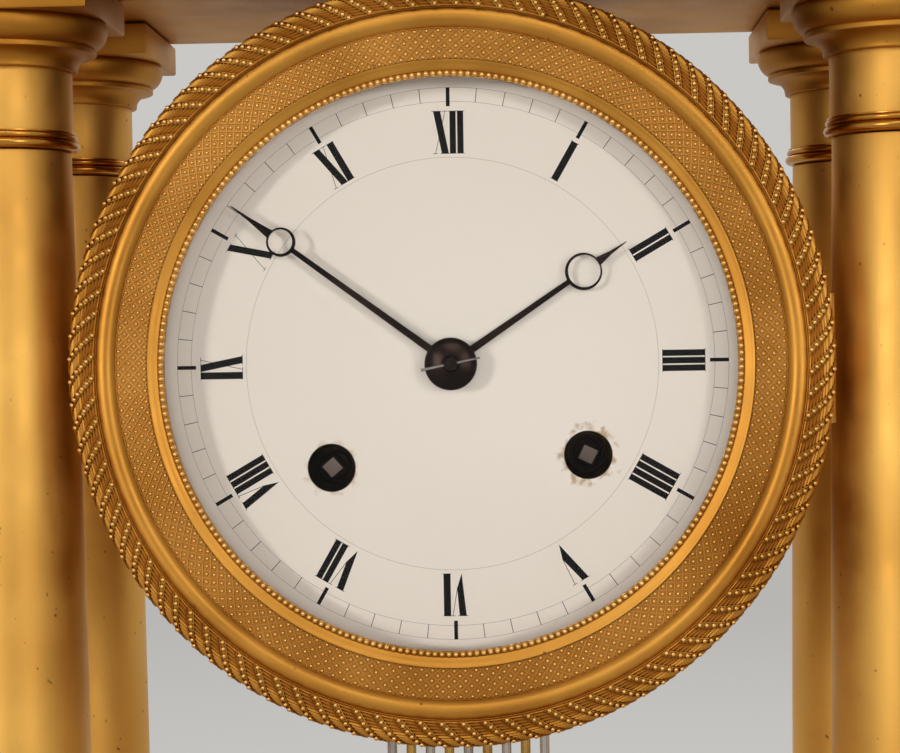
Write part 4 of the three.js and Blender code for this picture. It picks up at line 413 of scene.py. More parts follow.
# Sheet brass of the drum: drawn lines run round it, and the lacquer has browned
drum_brass = bare_metal("drum_brass", "c9a35a", "9c6f33", (0.24, 0.36), 0.4, 1)
# Bright steel of screws, pins and rods: polished with oilstone, grey and finely scratched
polished_steel = bare_metal("polished_steel", "c4c2bf", "928e8a", (0.16, 0.3), 0.2)


def put(bm, place):
    """Moves or turns a whole body."""
    bmesh.ops.transform(bm, matrix=place, verts=bm.verts[:])
    return bm


def about(axis, angle):
    return Matrix.Rotation(angle, 4, axis)


def knuckle(low, high):
    """A hinge knuckle upright on the door's pin."""
    sleeve = spindle(KNUCKLE_R, low, high, 24, 0.12, PIN_R)
    return put(sleeve, moved(HINGE_X, 0, HINGE_FORWARD) @ about("X", -pi / 2))


shell = [spindle(DRUM_R, DRUM_BACK, DRUM_FRONT, 160, 0.2, DRUM_R - 1)]
for side in (-1, 1):
    low, high = sorted((side * 3.5, side * 10.5))
    shell += [knuckle(low, high), slab(57.3, 61.3, low, high, 33.15, DRUM_FRONT, 0.15)]
    shell.append(slab(60.2, 61.4, low, high, 33.2, 35.6, 0.15))
piece(together(*shell), "drum_tube", "case", drum_brass, WORKS, ["drum_shell"])
keep("drum_hanger", matt_gilt)
keep("hinge_pin", polished_steel)


def slab_pair(x0, x1, *rest):
    """Two like bars, left and right of the middle."""
    return [slab(-x1, -x0, *rest), slab(x0, x1, *rest)]


# The front ring slips into the drum and its two straps run back to the movement's plate
ring_profile = [(55.3, 25), (56.7, 25), (56.7, 34.6), (59.3, 34.6), (59.3, 35.8), (55.6, 35.8)]
ring_profile += [(54.6, 35.2), (49.9, 29.9), (49.3, 29.6), (49.3, 28.2), (55.3, 28.2)]
straps = slab_pair(53.5, 54.9, -4, 4, -12, 29.6) + slab_pair(49.5, 54.9, -4, 4, -12, -10.6)
front_ring = together(turned(ring_profile, 160, 0.2), *straps)
piece(front_ring, "front_ring", "case", burnished_gilt, WORKS, ["dial_ring"])


def cut_at(bm, point, normal):
    """Cuts edges into a body along a plane."""
    geom = bm.verts[:] + bm.edges[:] + bm.faces[:]
    bmesh.ops.bisect_plane(bm, geom=geom, plane_co=point, plane_no=normal)


def push(bm, faces, height):
    """Extrudes faces by a height."""
    grown = bmesh.ops.extrude_face_region(bm, geom=faces)["geom"]
    verts = [v for v in grown if isinstance(v, bmesh.types.BMVert)]
    bmesh.ops.translate(bm, vec=(0, 0, height), verts=verts)


def slotted_head(radius, back, front, width, turn):
    """A cheese-head screw seen from its head, which faces -Z, with a cut slot."""
    bm = put(spindle(radius, front, back, 32, 0.2), about("Z", turn))
    for offset in (-width / 2, width / 2):
        cut_at(bm, (0, offset, 0), (0, 1, 0))
    middles = [(f, f.calc_center_median()) for f in bm.faces if abs(f.normal.z) > 0.9]
    floor = [f for f, m in middles if abs(m.y) < width / 2 and abs(m.z - back) < 0.02]
    push(bm, floor, (front - back) * 0.45)
    bmesh.ops.delete(bm, geom=floor, context="FACES")
    return bm


rear_profile = [(49, -19.8), (49.4, -20.0), (59.1, -20.0), (59.3, -19.8), (59.3, -18.3)]
rear_profile += [(56.7, -18.3), (56.7, -14.3), (55.3, -14.3), (55.3, -18.3), (49, -18.3)]
rear_ring = [turned(rear_profile, 160, 0.15)]
for side in (-1, 1):
    head = slotted_head(2.4, -21.4, -19.8, 0.6, 0.4 * side)
    screw = together(head, spindle(1.1, -19.9, -12.3, 24, 0.1))
    rear_ring.append(put(screw, moved(side * 51.5, 0)))
back_ring = together(*rear_ring)
piece(back_ring, "back_ring", "case", burnished_gilt, WORKS, ["rear_ring"])

# Enamel dial: a domed copper disc, counter-enamelled and fired white with a wet gloss.
# The hours and the minute track are painted in black enamel and fired on. The holes for
# the winding squares are stained with old oil.

DIAL_R, DIAL_EDGE, DIAL_DOME, DIAL_THICKNESS = 48.9, 29.4, 1.2, 1.5
CENTRE_HOLE, WINDING_HOLE, FACET = 3.2, 4.0, 3.1
STRIKE, GOING = (-20.15, -16.9), (22.27, -15.35)


def dial_front(x, y):
    return DIAL_EDGE + DIAL_DOME * (1 - (x * x + y * y) / DIAL_R**2)


def circle(bm, radius, x=0.0, y=0.0, z=0.0, segments=96):
    made = bmesh.ops.create_circle(bm, segments=segments, radius=radius, matrix=moved(x, y, z))
    verts = set(made["verts"])
    return [e for e in bm.edges if e.verts[0] in verts]


def filled(bm):
    """Fills a flat outline, round the outlines inside it."""
    bmesh.ops.triangle_fill(bm, use_beauty=True, use_dissolve=False, edges=bm.edges[:])
    return bm


def thicken(bm, height):
    """Gives a sheet its thickness."""
    push(bm, bm.faces[:], height)
    outward(bm)
    return bm


def sharp_edges(bm):
    return [e for e in bm.edges if len(e.link_faces) == 2 and e.calc_face_angle(0) > radians(60)]


dial = bmesh.new()
circle(dial, DIAL_R, segments=180)
circle(dial, CENTRE_HOLE, segments=48)
for hole in (STRIKE, GOING):
    circle(dial, WINDING_HOLE, *hole, segments=64)
filled(dial)
for axis in ((1, 0, 0), (0, 1, 0)):
    for step in range(-15, 16):
        cut_at(dial, Vector(axis) * step * FACET, axis)
for v in dial.verts:
    v.co.z = dial_front(v.co.x, v.co.y)
thicken(dial, -DIAL_THICKNESS)
on_front = {v for v in dial.verts if v.co.z > dial_front(v.co.x, v.co.y) - 0.5}
soften(dial, [e for e in sharp_edges(dial) if on_front.issuperset(e.verts)], 0.45, 3, clamp=True)

# White enamel: warm ivory, thick as glass and very smooth, with brown oil round the holes
enamel, add, shader, where = new_finish("white_enamel", Roughness=0.09, IOR=1.52, Coat_Weight=0.6)
shader.inputs["Coat Roughness"].default_value = 0.03
shade = add("TexNoise", {"Scale": 1 / (30 * MM), "Detail": 3}, {"Vector": where})
last = add("MixRGB", {"Color1": colour("ecdfce"), "Color2": colour("f0e5d7")}, {"Fac": shade})
for (x, y), reach, amount in ((STRIKE, 5.3, 0.6), (GOING, 6.0, 0.8)):
    spot = (x * MM, -30 * MM, (DIAL_HEIGHT + y) * MM)
    away = add("VectorMath", {"operation": "DISTANCE", 1: spot}, {0: where})
    ragged = add("TexNoise", {"Scale": 1 / (1.6 * MM), "Detail": 4}, {"Vector": where})
    width = {"From Min": 0.42, "From Max": 0.68, "To Min": 3.9 * MM, "To Max": reach * MM}
    edge = add("MapRange", width, {"Value": ragged})
    inside = add("Math", {"operation": "SUBTRACT"}, {0: edge, 1: away.outputs["Value"]})
    fading = {"From Min": -0.3 * MM, "From Max": 1.1 * MM, "To Min": 0.0, "To Max": amount}
    stain = add("MapRange", fading, {"Value": inside})
    last = add("MixRGB", {"Color2": colour("b28c60")}, {"Fac": stain, "Color1": last})
connect(shader, {"Base Color": last})
piece(dial, "enamel_dial", "case", enamel, WORKS, ["dial"], 50)

STROKE, WIDE_STROKE, PITCH, HAIR = 1.02, 1.17, 1.25, 0.09
NUMERAL_FOOT, NUMERAL_HEAD = 34.7, 41.7
MINUTE_MARK, HOUR_MARK = (0.055, 43.3, 45.6), (0.31, 42.5, 45.65)
TRACK_CIRCLES = ((45.62, 0.035), (43.3, 0.035), (34.07, 0.03))
HOURS = ["XII", "I", "II", "III", "IIII", "V", "VI", "VII", "VIII", "IX", "X", "XI"]


def patch(x0, x1, y0, y1):
    return [(x0, y0), (x1, y0), (x1, y1), (x0, y1)]


def serif(middle, y, length):
    return patch(middle - length, middle + length, y - HAIR / 2, y + HAIR / 2)


def bar(top, bottom, width):
    """A stroke of one width, upright or slanting, from the foot to the head of a numeral."""
    half, foot, head = width / 2, NUMERAL_FOOT, NUMERAL_HEAD
    return [(bottom - half, foot), (bottom + half, foot), (top + half, head), (top - half, head)]


def strokes(numeral):
    """The painted shapes of one numeral: (corner points) with x across and y outward."""
    foot, head, thick = NUMERAL_FOOT, NUMERAL_HEAD, WIDE_STROKE / 2
    upright = WIDE_STROKE if numeral in ("I", "VI", "XI", "IX") else STROKE
    shapes, x = [], 0.0
    for letter in numeral:
        if letter == "I":
            shapes += [bar(x, x, upright), serif(x, foot, 0.72), serif(x, head, 0.72)]
            x += PITCH
        elif letter == "V":
            lean, spread = {"V": (1.5, 1.4), "VI": (0.75, 1.1)}.get(numeral, (1.08, 1.3))
            tip, edge = x - thick + lean, x + thick + spread
            corner, low = tip + 0.76, foot + 2.3
            shapes += [
                [(tip, foot - 0.05), (corner, foot + 2.4), (x + thick, head), (x - thick, head)],
                [(corner - 0.1, low), (corner, low), (edge + 0.05, head), (edge - 0.05, head)],
            ]
            shapes += [serif(x, head, 0.85), serif(edge, head, 0.4)]
            x = edge + 0.9
        else:
            lean = 2.35 if numeral == "X" else 1.38
            shapes += [bar(x, x + lean, WIDE_STROKE), bar(x + lean, x - 0.25, HAIR)]
            shapes += [serif(x, head, 0.85), serif(x + lean, foot, 0.85)]
            shapes += [serif(x + lean, head, 0.4), serif(x - 0.25, foot, 0.4)]
            x += lean + (0.6 + PITCH / 2 if numeral == "XI" else PITCH)
    xs = [px for shape in shapes for px, _ in shape]
    middle = (min(xs) + max(xs)) / 2
    return [[(px - middle, py) for px, py in shape] for shape in shapes]


def paint(bm, points, clock_angle):
    """One painted shape on the dome, turned to its place on the clock."""
    a, lift = radians(clock_angle), 0.03
    corners = []
    for x, y in points:
        u, v = x * cos(a) + y * sin(a), -x * sin(a) + y * cos(a)
        corners.append(bm.verts.new((u, v, dial_front(u, v) + lift)))
    face = bm.faces.new(corners)
    face.normal_update()
    if face.normal.z < 0:
        face.normal_flip()


painted = bmesh.new()
for hour, numeral in enumerate(HOURS):
    for shape in strokes(numeral):
        paint(painted, shape, hour * 30)
for minute in range(60):
    half, low, high = MINUTE_MARK if minute % 5 else HOUR_MARK
    paint(painted, patch(-half, half, low, high), minute * 6)
for radius, width in TRACK_CIRCLES:
    half = radius * sin(radians(1)) * 1.02
    for i in range(180):
        paint(painted, patch(-half, half, radius - width / 2, radius + width / 2), i * 2)
thicken(painted, -0.05)

# Painted enamel: a brown-black oxide colour, fired a little less glossy than the ground
black_enamel, add, shader, where = new_finish("black_enamel", Roughness=0.5, Specular_IOR_Level=0.1)
uneven = add("TexNoise", {"Scale": 1 / (1.2 * MM), "Detail": 4}, {"Vector": where})
ink = add("MixRGB", {"Color1": colour("050404"), "Color2": colour("120f0d")}, {"Fac": uneven})
connect(shader, {"Base Color": ink})
piece(painted, "painted_hours", "case", black_enamel, WORKS)

# Winding arbors: hardened steel ends filed square, for the key, behind the dial's holes.
# The strike is wound on the left and the going train on the right.

ARBOR_R, PIVOT_R, SQUARE_HALF, SQUARE_BACK, SQUARE_FRONT = 2.4, 1.1, 1.5, 21.2, 28.6

# Winding squares are steel that the key has worn and oil has browned
worn_steel = bare_metal("worn_steel", "8e7f77", "62554e", (0.16, 0.3), 0.3)


def polar(radius, angle):
    return radius * cos(angle), radius * sin(angle)


def ratchet(radius, teeth, depth, back, front):
    """A ratchet wheel: a disc whose rim is cut into saw teeth."""
    bm = bmesh.new()
    saw = ((radius, 0), (radius - depth, 0.85))
    points = [polar(r, 2 * pi * (i + share) / teeth) for i in range(teeth) for r, share in saw]
    outline(bm, points, back)
    return thicken(filled(bm), front - back)


arbor_profile = [(0, -15.3), (PIVOT_R, -15.3), (PIVOT_R, -12.6), (ARBOR_R, -12.6)]
arbor_profile += [(ARBOR_R, 21.4), (0, 21.4)]
for train, at, angle in (("strike", STRIKE, 41), ("going", GOING, -26)):
    click_wheel = ratchet(radius=7, teeth=18, depth=1.1, back=17.0, front=18.6)
    arbor = together(turned(arbor_profile, 32, 0.15), click_wheel)
    half = SQUARE_HALF
    square = slab(-half, half, -half, half, SQUARE_BACK, SQUARE_FRONT, 0)
    ends = [e for e in square.edges if all(v.co.z > SQUARE_BACK + 0.1 for v in e.verts)]
    soften(square, ends, 0.28, 1)
    put(square, about("Z", radians(angle)))
    body, place = train + "_winding", WORKS @ moved(*at)
    piece(arbor, train + "_arbor", body, blackened_steel, place, [body + "_arbor"], 25)
    piece(square, train + "_square", body, worn_steel, place, crease=25)

# Hands: moon hands sawn from sheet steel, with bevelled edges, blued and gone nearly
# black. The minute hand's domed collet is held by a bright taper pin through the arbor.

HOUR_BACK, MINUTE_BACK, SHEET, BOSS_R = 32.2, 34.0, 0.7, 4


def flat(points, back, front):
    """A flat bar cut to an outline."""
    bm = bmesh.new()
    outline(bm, points, back)
    bm.faces.new(bm.verts[:])
    return thicken(bm, front - back)


def moon_hand(ring_at, ring_radius, ring_hole, tip, back, bore, angle):
    """A tapered shank, an off-centre ring and a long point, cut from one sheet."""
    shank_end, point_start = ring_at - ring_radius * 0.97, ring_at + ring_radius * 0.94
    waist = ring_at + (tip - ring_at) * 0.62
    shank = [(-0.62, 3.2), (0.62, 3.2), (0.42, shank_end), (-0.42, shank_end)]
    point = [(-0.75, point_start), (0.75, point_start), (0.3, waist)]
    point += [(0.07, tip), (-0.07, tip), (-0.3, waist)]
    parts = []
    for points in (shank, point):
        bm = flat(points, back, back + SHEET)
        front = [e for e in bm.edges if all(v.co.z > back + SHEET / 2 for v in e.verts)]
        soften(bm, front, 0.16, 1, clamp=True)
        parts.append(bm)
    moon = bmesh.new()
    circle(moon, ring_radius, 0, ring_at, back, 64)
    circle(moon, ring_hole, 0, ring_at + (ring_radius - ring_hole) * 0.33, back, 64)
    bmesh.ops.bridge_loops(moon, edges=moon.edges[:])
    parts += [thicken(moon, SHEET), spindle(BOSS_R, back, back + SHEET, 64, 0.12, bore)]
    return put(together(*parts), about("Z", radians(-angle)))


def tapered(thick, thin, length, place, sides=16):
    """A plain taper pin, placed by its middle."""
    bm = bmesh.new()
    bmesh.ops.create_cone(
        bm, cap_ends=True, segments=sides, radius1=thick, radius2=thin, depth=length, matrix=place
    )
    return bm


hour = moon_hand(
    ring_at=26.4, ring_radius=3.05, ring_hole=2.65, tip=34.9, back=HOUR_BACK, bore=2.1, angle=56
)
minute = moon_hand(
    ring_at=34.2, ring_radius=2.4, ring_hole=2.0, tip=44.3, back=MINUTE_BACK, bore=1.2, angle=-53.5
)
for hand, name, body in ((hour, "hour", "hour_wheel"), (minute, "minute", "centre_arbor")):
    old = [name + "_hand"]
    piece(hand, name + "_moon_hand", body, blackened_steel, WORKS, old, 25)
collet_profile = [(1.2, 34.8), (4.3, 34.8), (4.3, 35.15), (4.1, 35.2), (3.9, 35.2), (3.8, 34.98)]
collet_profile += [(3.7, 34.98), *arc(0, 26.3, 9.5, 9.5, 67.8, 81.8, 8), (1.2, 35.65)]
collet, old = turned(collet_profile, 72, 0.08), ["hand_collet"]
piece(collet, "domed_collet", "centre_arbor", blackened_steel, WORKS, old)
pin = tapered(0.25, 0.13, 9.8, moved(0, 0, 36.1) @ about("Z", radians(11)) @ about("Y", pi / 2))
piece(pin, "taper_pin", "centre_arbor", polished_steel, WORKS, ["hand_pin"])

# Bezel door: a cast ring, turned, then chased and gilt. From the sight edge outwards it
# has a string of beads, a flat, a trellis with a boss in each diamond, a burnished
# torus, and a ribbed rope border crossed by slanting strings of beads.

SIGHT_BEADS, SIGHT_BEAD_R = 261, 0.5
ROPE_INNER, ROPE_FLAT, ROPE_ROUND, ROPE_LOW, RIBS = 57.3, 1.9, 2.6, 38.6, 12
ROPE_LENGTH = ROPE_FLAT + ROPE_ROUND * pi / 2

# The ring's ground: chased gilding, matt and toned, with painted shade darkening its hollows
chased_gilt = gilding("chased_gilt", "cc913e", "aa7029", (0.36, 0.46), 0.4, 0.014, 0.75)
# The tops of beads and ribs were burnished and are rubbed bright
rubbed_gilt = gilding("rubbed_gilt", "f3c377", "d69d48", (0.22, 0.32), 0.8, 0.008)


def repeated(unit, places):
    """One mesh with a copy of a small closed body at each place."""
    small = bpy.data.meshes.new("small")
    unit.to_mesh(small)
    unit.free()
    whole = bmesh.new()
    for place in places:
        copy = small.copy()
        copy.transform(place)
        whole.from_mesh(copy)
        bpy.data.meshes.remove(copy)
    bpy.data.meshes.remove(small)
    return whole


def turns(count, start=0.0):
    """The places of like things all round a ring."""
    return [about("Z", 2 * pi * (i + start) / count) for i in range(count)]


def rope_surface(along, lift=0.0):
    """Radius and height on the rope border: a flat top that turns down to the rim."""
    bend = max(0.0, along - ROPE_FLAT) / ROPE_ROUND
    r = ROPE_INNER + min(along, ROPE_FLAT) + (ROPE_ROUND + lift) * sin(bend)
    return r, ROPE_LOW + (ROPE_ROUND + lift) * cos(bend)


def cast_bead(radius):
    """A cast bead, of which the lower part is sunk in the ring."""
    bm = bmesh.new()
    bmesh.ops.create_icosphere(bm, subdivisions=2, radius=radius)
    return bm


def on_door(bm, name, finish, instead=(), crease=32):
    piece(bm, name, "bezel_door", finish, WORKS, instead, crease)


sight_edge = [(46.3, 38.4), (46.3, 39.15), (46.45, 39.28), (47.22, 39.2), (47.26, 39.42)]
sight_edge += [(47.4, 39.5), (48.0, 39.62), (48.5, 39.78), (48.8, 39.95), (48.9, 39.95)]
sight_edge += [(48.98, 39.84), (49.02, 39.6)]
torus = [(53.9, 39.6), (53.98, 39.72), (54.08, 39.72), (54.3, 40.06), (54.7, 40.4), (55.2, 40.64)]
torus += [(55.8, 40.74), (56.4, 40.66), (56.9, 40.5), (57.2, 40.34), (57.28, 40.36), (57.32, 40.85)]
rope = [(57.42, 41.05)]
for i in range(1, RIBS * 2):
    rope.append(rope_surface(ROPE_LENGTH * i / (RIBS * 2), -0.12 if i % 2 else -0.32))
rim = [(61.66, 38.2), (61.7, 37.5), (61.98, 37.2), (62.05, 37.1), (62.05, 36.3), (61.95, 36.2)]
rim += [(60.9, 36.2), (58, 38.4), (50.3, 38.4)]
ring = turned(sight_edge + torus + rope + rim, 288, 0)
bridge = slab(60.3, 61.5, -3.2, 3.2, 35.4, 37.2, 0.15)
on_door(together(ring, knuckle(-3.2, 3.2), bridge), "bezel_ring", chased_gilt, ["bezel"], 40)
places = [turn @ moved(46.76, 0, 39.45) for turn in turns(SIGHT_BEADS)]
on_door(repeated(cast_bead(SIGHT_BEAD_R), places), "sight_beads", rubbed_gilt)

# Trellis: thin ribs cross over a matted ground and a round boss stands in each diamond
DIAMONDS, BOSS_ROWS, FIRST_ROW, ROW_STEP, GROUND = 176, 6, 49.4, 0.84, 39.6
TRELLIS_IN, TRELLIS_OUT, BAR_STEPS, BOSS_BEAD_R = 49.04, 53.92, 12, 0.3
RIB_SECTION = [(-0.19, -0.05), (-0.05, 0.28), (0.05, 0.28), (0.19, -0.05)]


def skin(bm, loops):
    """Closes a bar over a row of outlines with as many points each."""
    for low, high in zip(loops, loops[1:]):
        for i in range(len(low)):
            j = (i + 1) % len(low)
            bm.faces.new((low[i], low[j], high[j], high[i]))
    bm.faces.new(loops[0])
    bm.faces.new(loops[-1])
    outward(bm)
    return bm


trellis = []
for lean in (-1, 1):
    rib, loops = bmesh.new(), []
    for k in range(BAR_STEPS + 1):
        r = TRELLIS_IN + (TRELLIS_OUT - TRELLIS_IN) * k / BAR_STEPS
        a = pi / DIAMONDS * (1 + lean * (r - FIRST_ROW) / ROW_STEP)
        loops.append([rib.verts.new((*polar(r, a + s / r), GROUND + h)) for s, h in RIB_SECTION])
    trellis.append(repeated(skin(rib, loops), turns(DIAMONDS)))
on_door(together(*trellis), "trellis_ribs", rubbed_gilt, crease=25)
places = []
for row in range(BOSS_ROWS):
    seat = moved(FIRST_ROW + ROW_STEP * row, 0, GROUND + 0.06)
    places += [turn @ seat for turn in turns(DIAMONDS, 0.5 * (row % 2))]
on_door(repeated(cast_bead(BOSS_BEAD_R), places), "trellis_bosses", rubbed_gilt)

# Rope strings: a channel between two thin fillets, with a row of beads in each
STRINGS, SLANT, STRING_BEADS, STRING_BEAD_R = 104, 0.0172, 6, 0.41
FILLETS = [(-0.74, -0.35), (-0.68, 0.1), (-0.58, 0.12), (-0.48, -0.1)]
FILLETS += [(-side, lift) for side, lift in reversed(FILLETS)]


def rope_point(along, side=0.0, lift=0.0):
    """A point of one string, at a length along the section of the rope border."""
    r, height = rope_surface(along, lift)
    return Vector((*polar(r, SLANT * (along - 2.5) + side / 60.4), height))


string, loops = bmesh.new(), []
for i in range(BAR_STEPS + 1):
    along = 0.05 + (ROPE_LENGTH - 0.15) * i / BAR_STEPS
    loops.append([string.verts.new(rope_point(along, side, lift)) for side, lift in FILLETS])
on_door(repeated(skin(string, loops), turns(STRINGS)), "rope_fillets", chased_gilt, crease=30)
seats = [Matrix.Translation(rope_point(0.42 + 0.79 * k, 0, 0.08)) for k in range(STRING_BEADS)]
places = [turn @ seat for turn in turns(STRINGS) for seat in seats]
on_door(repeated(cast_bead(STRING_BEAD_R), places), "rope_beads", rubbed_gilt)

# Glass: a slightly domed disc, ground at the edge and held behind the sight edge
GLASS_R, SIGHT_R, GLASS_RISE, GLASS_INSIDE, GLASS_OUTSIDE = 49.9, 46.6, 2.2, 37.1, 38.1


def dome(radius, edge_height):
    return radius, edge_height + GLASS_RISE * (1 - (radius / SIGHT_R) ** 2)


glass_profile = [(0, 39.3), *[dome(GLASS_R * i / 12, GLASS_INSIDE) for i in range(1, 12)]]
glass_profile += [(GLASS_R, GLASS_INSIDE), (GLASS_R, 38.0), (46.8, GLASS_OUTSIDE)]
glass_profile += [*[dome(SIGHT_R * i / 12, GLASS_OUTSIDE) for i in range(11, 0, -1)], (0, 40.3)]
# Window glass is clear: it shows only by its reflection, faint face on and strong edge on
clear_glass, add, shader, where = new_finish("clear_glass", Metallic=1.0, Roughness=0.02)
shader.inputs["Base Color"].default_value = (1, 1, 1, 1)
facing = add("LayerWeight", {"Blend": 0.5}).outputs["Facing"]
edge_on = add("Math", {"operation": "POWER", 1: 5.0}, {0: facing})
sheen = add("MapRange", {"To Min": 0.006, "To Max": 0.8}, {"Value": edge_on})
connect(shader, {"Alpha": sheen})
glass = turned(glass_profile, 128, 0)
piece(glass, "domed_glass", "bezel_door", clear_glass, WORKS, ["bezel_glass"], 60)

# Movement: a round Paris movement between two brass plates that five pillars hold apart.
# Two spring barrels drive the trains; the motion work under the dial turns the hands.

PILLARS = [polar(38.8, radians(a)) for a in (5, 60, 120, 175, 270)]
PLATE_R, PIVOT_HOLE, ANCHOR_UP = 43, 1.5, 34
COUNT_AT, HAMMER_AT, MINUTE_WHEEL_UP = (-24, 6), (-31, -26), 14

# Plates behind the dial: brass coloured nearly black as painted shade, so the winding holes look
# dark inside
shade_black_brass = bare_metal("shade_black_brass", "4a3617", "1c1309", (0.4, 0.55), 0.3)
# Movement brass: plates and wheels were stoned, polished and lacquered
movement_brass = bare_metal("movement_brass", "dbb56a", "b98a42", (0.16, 0.3), 0.25)


def plate(radius, back, front, holes):
    """A round flat plate with round holes (x, y, radius), its edges a little softened."""
    bm = bmesh.new()
    circle(bm, radius, z=back, segments=160)
    for x, y, r in holes:
        circle(bm, r, x, y, back, 40)
    thicken(filled(bm), front - back)
    soften(bm, sharp_edges(bm), 0.2)
    return bm


behind_dial = [plate(52.8, 26.5, 27.6, [(*STRIKE, 5.2), (*GOING, 5.2), (0, 0, 4.0)])]
for a in (30, 150, 270):
    behind_dial.append(put(spindle(1.9, 21.3, 26.8, 32, 0.1), moved(*polar(36, radians(a)))))
dial_plate = together(*behind_dial)
piece(dial_plate, "plate_behind_dial", "case", shade_black_brass, WORKS, ["dial_plate"])

pillar_profile = [(0, -16.6), (1.0, -16.6), (1.2, -16.3), (1.2, -12.7), (2.8, -12.7), (2.8, -11.6)]
pillar_profile += [(2.2, -11.2), (2.2, -10.2), (1.7, -9.6), (2.4, 3), (1.7, 15.6), (2.2, 16.2)]
pillar_profile += [(2.2, 17.2), (2.8, 17.6), (2.8, 19.5), (0, 19.5)]
front_parts = [plate(PLATE_R, 19, 21, [(*STRIKE, 3.2), (*GOING, 3.2), (0, 0, PIVOT_HOLE)])]
front_parts += [put(turned(pillar_profile, 40, 0.1), moved(*at)) for at in PILLARS]
front_parts.append(put(spindle(0.65, 20, 25.6, 20, 0.1), moved(0, MINUTE_WHEEL_UP)))
front = together(*front_parts)
piece(front, "front_plate_and_pillars", "case", shade_black_brass, WORKS, ["front_plate"])

pivots = (STRIKE, GOING, (0, 0), COUNT_AT, HAMMER_AT, *PILLARS)
back = plate(PLATE_R, -15, -13, [(0, ANCHOR_UP, 3.4), *[(*at, PIVOT_HOLE) for at in pivots]])
piece(back, "back_plate_brass", "case", movement_brass, WORKS, ["back_plate"])

# A tapered steel pin through the end of each pillar draws the back plate against it
pins = []
for i, (x, y) in enumerate(PILLARS):
    across = about("Z", 0.5 + 1.3 * i) @ about("Y", pi / 2)
    pins.append(tapered(0.45, 0.3, 7.5, moved(x, y, -15.7) @ across))
piece(together(*pins), "pillar_pins", "case", polished_steel, WORKS)


def great_wheel(teeth, tip, root, bore, back, front):
    """The flat toothed wheel on a barrel, with round-topped teeth."""
    bm = bmesh.new()
    shoulder = tip - (tip - root) * 0.3
    flank = ((-0.3, root), (-0.2, shoulder), (-0.08, tip))
    tooth = (*flank, (0.08, tip), (0.2, shoulder), (0.3, root))
    points = [polar(r, 2 * pi * (i + share) / teeth) for i in range(teeth) for share, r in tooth]
    outline(bm, points, back)
    circle(bm, bore, z=back, segments=32)
    return thicken(filled(bm), front - back)


barrel_profile = [(2.8, -9), (11.6, -9), (11.8, -8.6), (12.2, -8.6), (12.4, -9), (13.8, -9)]
barrel_profile += [(13.8, 6.2), (2.8, 6.2)]
for train, at in (("strike", STRIKE), ("going", GOING)):
    wheel = great_wheel(teeth=30, tip=16.1, root=14.6, bore=2.8, back=6, front=8)
    barrel = together(turned(barrel_profile, 96, 0.15), wheel)
    body, place = train + "_barrel", WORKS @ moved(*at)
    piece(barrel, train + "_spring_barrel", body, movement_brass, place, [body])

# The wheels of the motion work and of the escapement keep the frame's own shapes. Their
# arbors are steel and the wheels on them are brass.


def wheel_metal(name, height, radius):
    """Brass, but dark steel within the radius of the arbor, which is on the middle line."""
    finish = bare_metal(name, "d6b068", "ad8140", (0.2, 0.32), 0.25)
    add = partial(add_node, finish.node_tree)
    shader = finish.node_tree.nodes["Principled BSDF"]
    brass = shader.inputs["Base Color"].links[0].from_socket
    where = add("TexCoord").outputs["Object"]
    flattened = add("VectorMath", {"operation": "MULTIPLY", 1: (1, 0, 1)}, {0: where})
    centre = (0, 0, (DIAL_HEIGHT + height) * MM)
    away = add("VectorMath", {"operation": "DISTANCE", 1: centre}, {0: flattened})
    inside = add("Math", {"operation": "LESS_THAN", 1: radius * MM}, {0: away.outputs["Value"]})
    metal = add("MixRGB", {"Color2": colour("2c2420")}, {"Fac": inside, "Color1": brass})
    connect(shader, {"Base Color": metal})
    return finish


keep("centre_arbor", wheel_metal("centre_wheel_metal", 0, 1.95))
keep("minute_wheel", wheel_metal("minute_wheel_metal", MINUTE_WHEEL_UP, 0.9))
keep("hour_wheel", wheel_metal("hour_wheel_metal", 0, 0.1))
keep("escape_wheel", wheel_metal("escape_wheel_metal", 22.5, 0.8))
keep("anchor", polished_steel)

# Back of the movement: the cock bridges the anchor's arbor and carries the suspension.
# The crutch hangs behind the plate and its fork leads the middle rod of the pendulum.

PENDULUM_BACK = -24
CRUTCH_BACK, CRUTCH_FRONT = -18.2, -17.0
cock = [slab(-10, 10, 31, 44.5, -21, -19.5, 0.3), slab(-3, 3, 42.2, 44.5, -26.8, -20.6)]
cock += slab_pair(6.5, 10, 31, 44.5, -20.4, -15.3) + slab_pair(0.35, 3, 39.7, 44.5, -27, -20.4)
piece(together(*cock), "suspension_cock", "case", movement_brass, WORKS, ["pendulum_cock"])
screws = []
for side in (-1, 1):
    screws.append(put(slotted_head(1.6, -22.1, -20.9, 0.45, 0.5 * side), moved(side * 8.1, 37.8)))
clamp_place = moved(-3.1, 41.6, PENDULUM_BACK) @ about("Y", pi / 2)
screws.append(put(slotted_head(1.1, -1, 0.3, 0.3, 0.4), clamp_place))
piece(together(*screws), "cock_screws", "case", polished_steel, WORKS)


def long_bar(points, back, front):
    """A flat steel bar cut to an outline, with its edges softened."""
    bm = flat(points, back, front)
    soften(bm, bm.edges[:], 0.12, 1)
    return bm


arm = [(-1.5, -1.6), (1.5, -1.6), (0.9, -37.8), (-0.9, -37.8)]
crutch = [spindle(2.1, -18.3, -16.9, 40, 0.15, 0.8), long_bar(arm, CRUTCH_BACK, CRUTCH_FRONT)]
crutch.append(slab(-2.4, 2.4, -38, -36.2, CRUTCH_BACK, CRUTCH_FRONT, 0.15))
crutch += slab_pair(1.4, 2.4, -38, -36.2, -24.95, -17.2, 0.15)
hung = put(together(*crutch), moved(0, ANCHOR_UP))
piece(hung, "crutch_and_fork", "crutch", polished_steel, WORKS, ["crutch"])

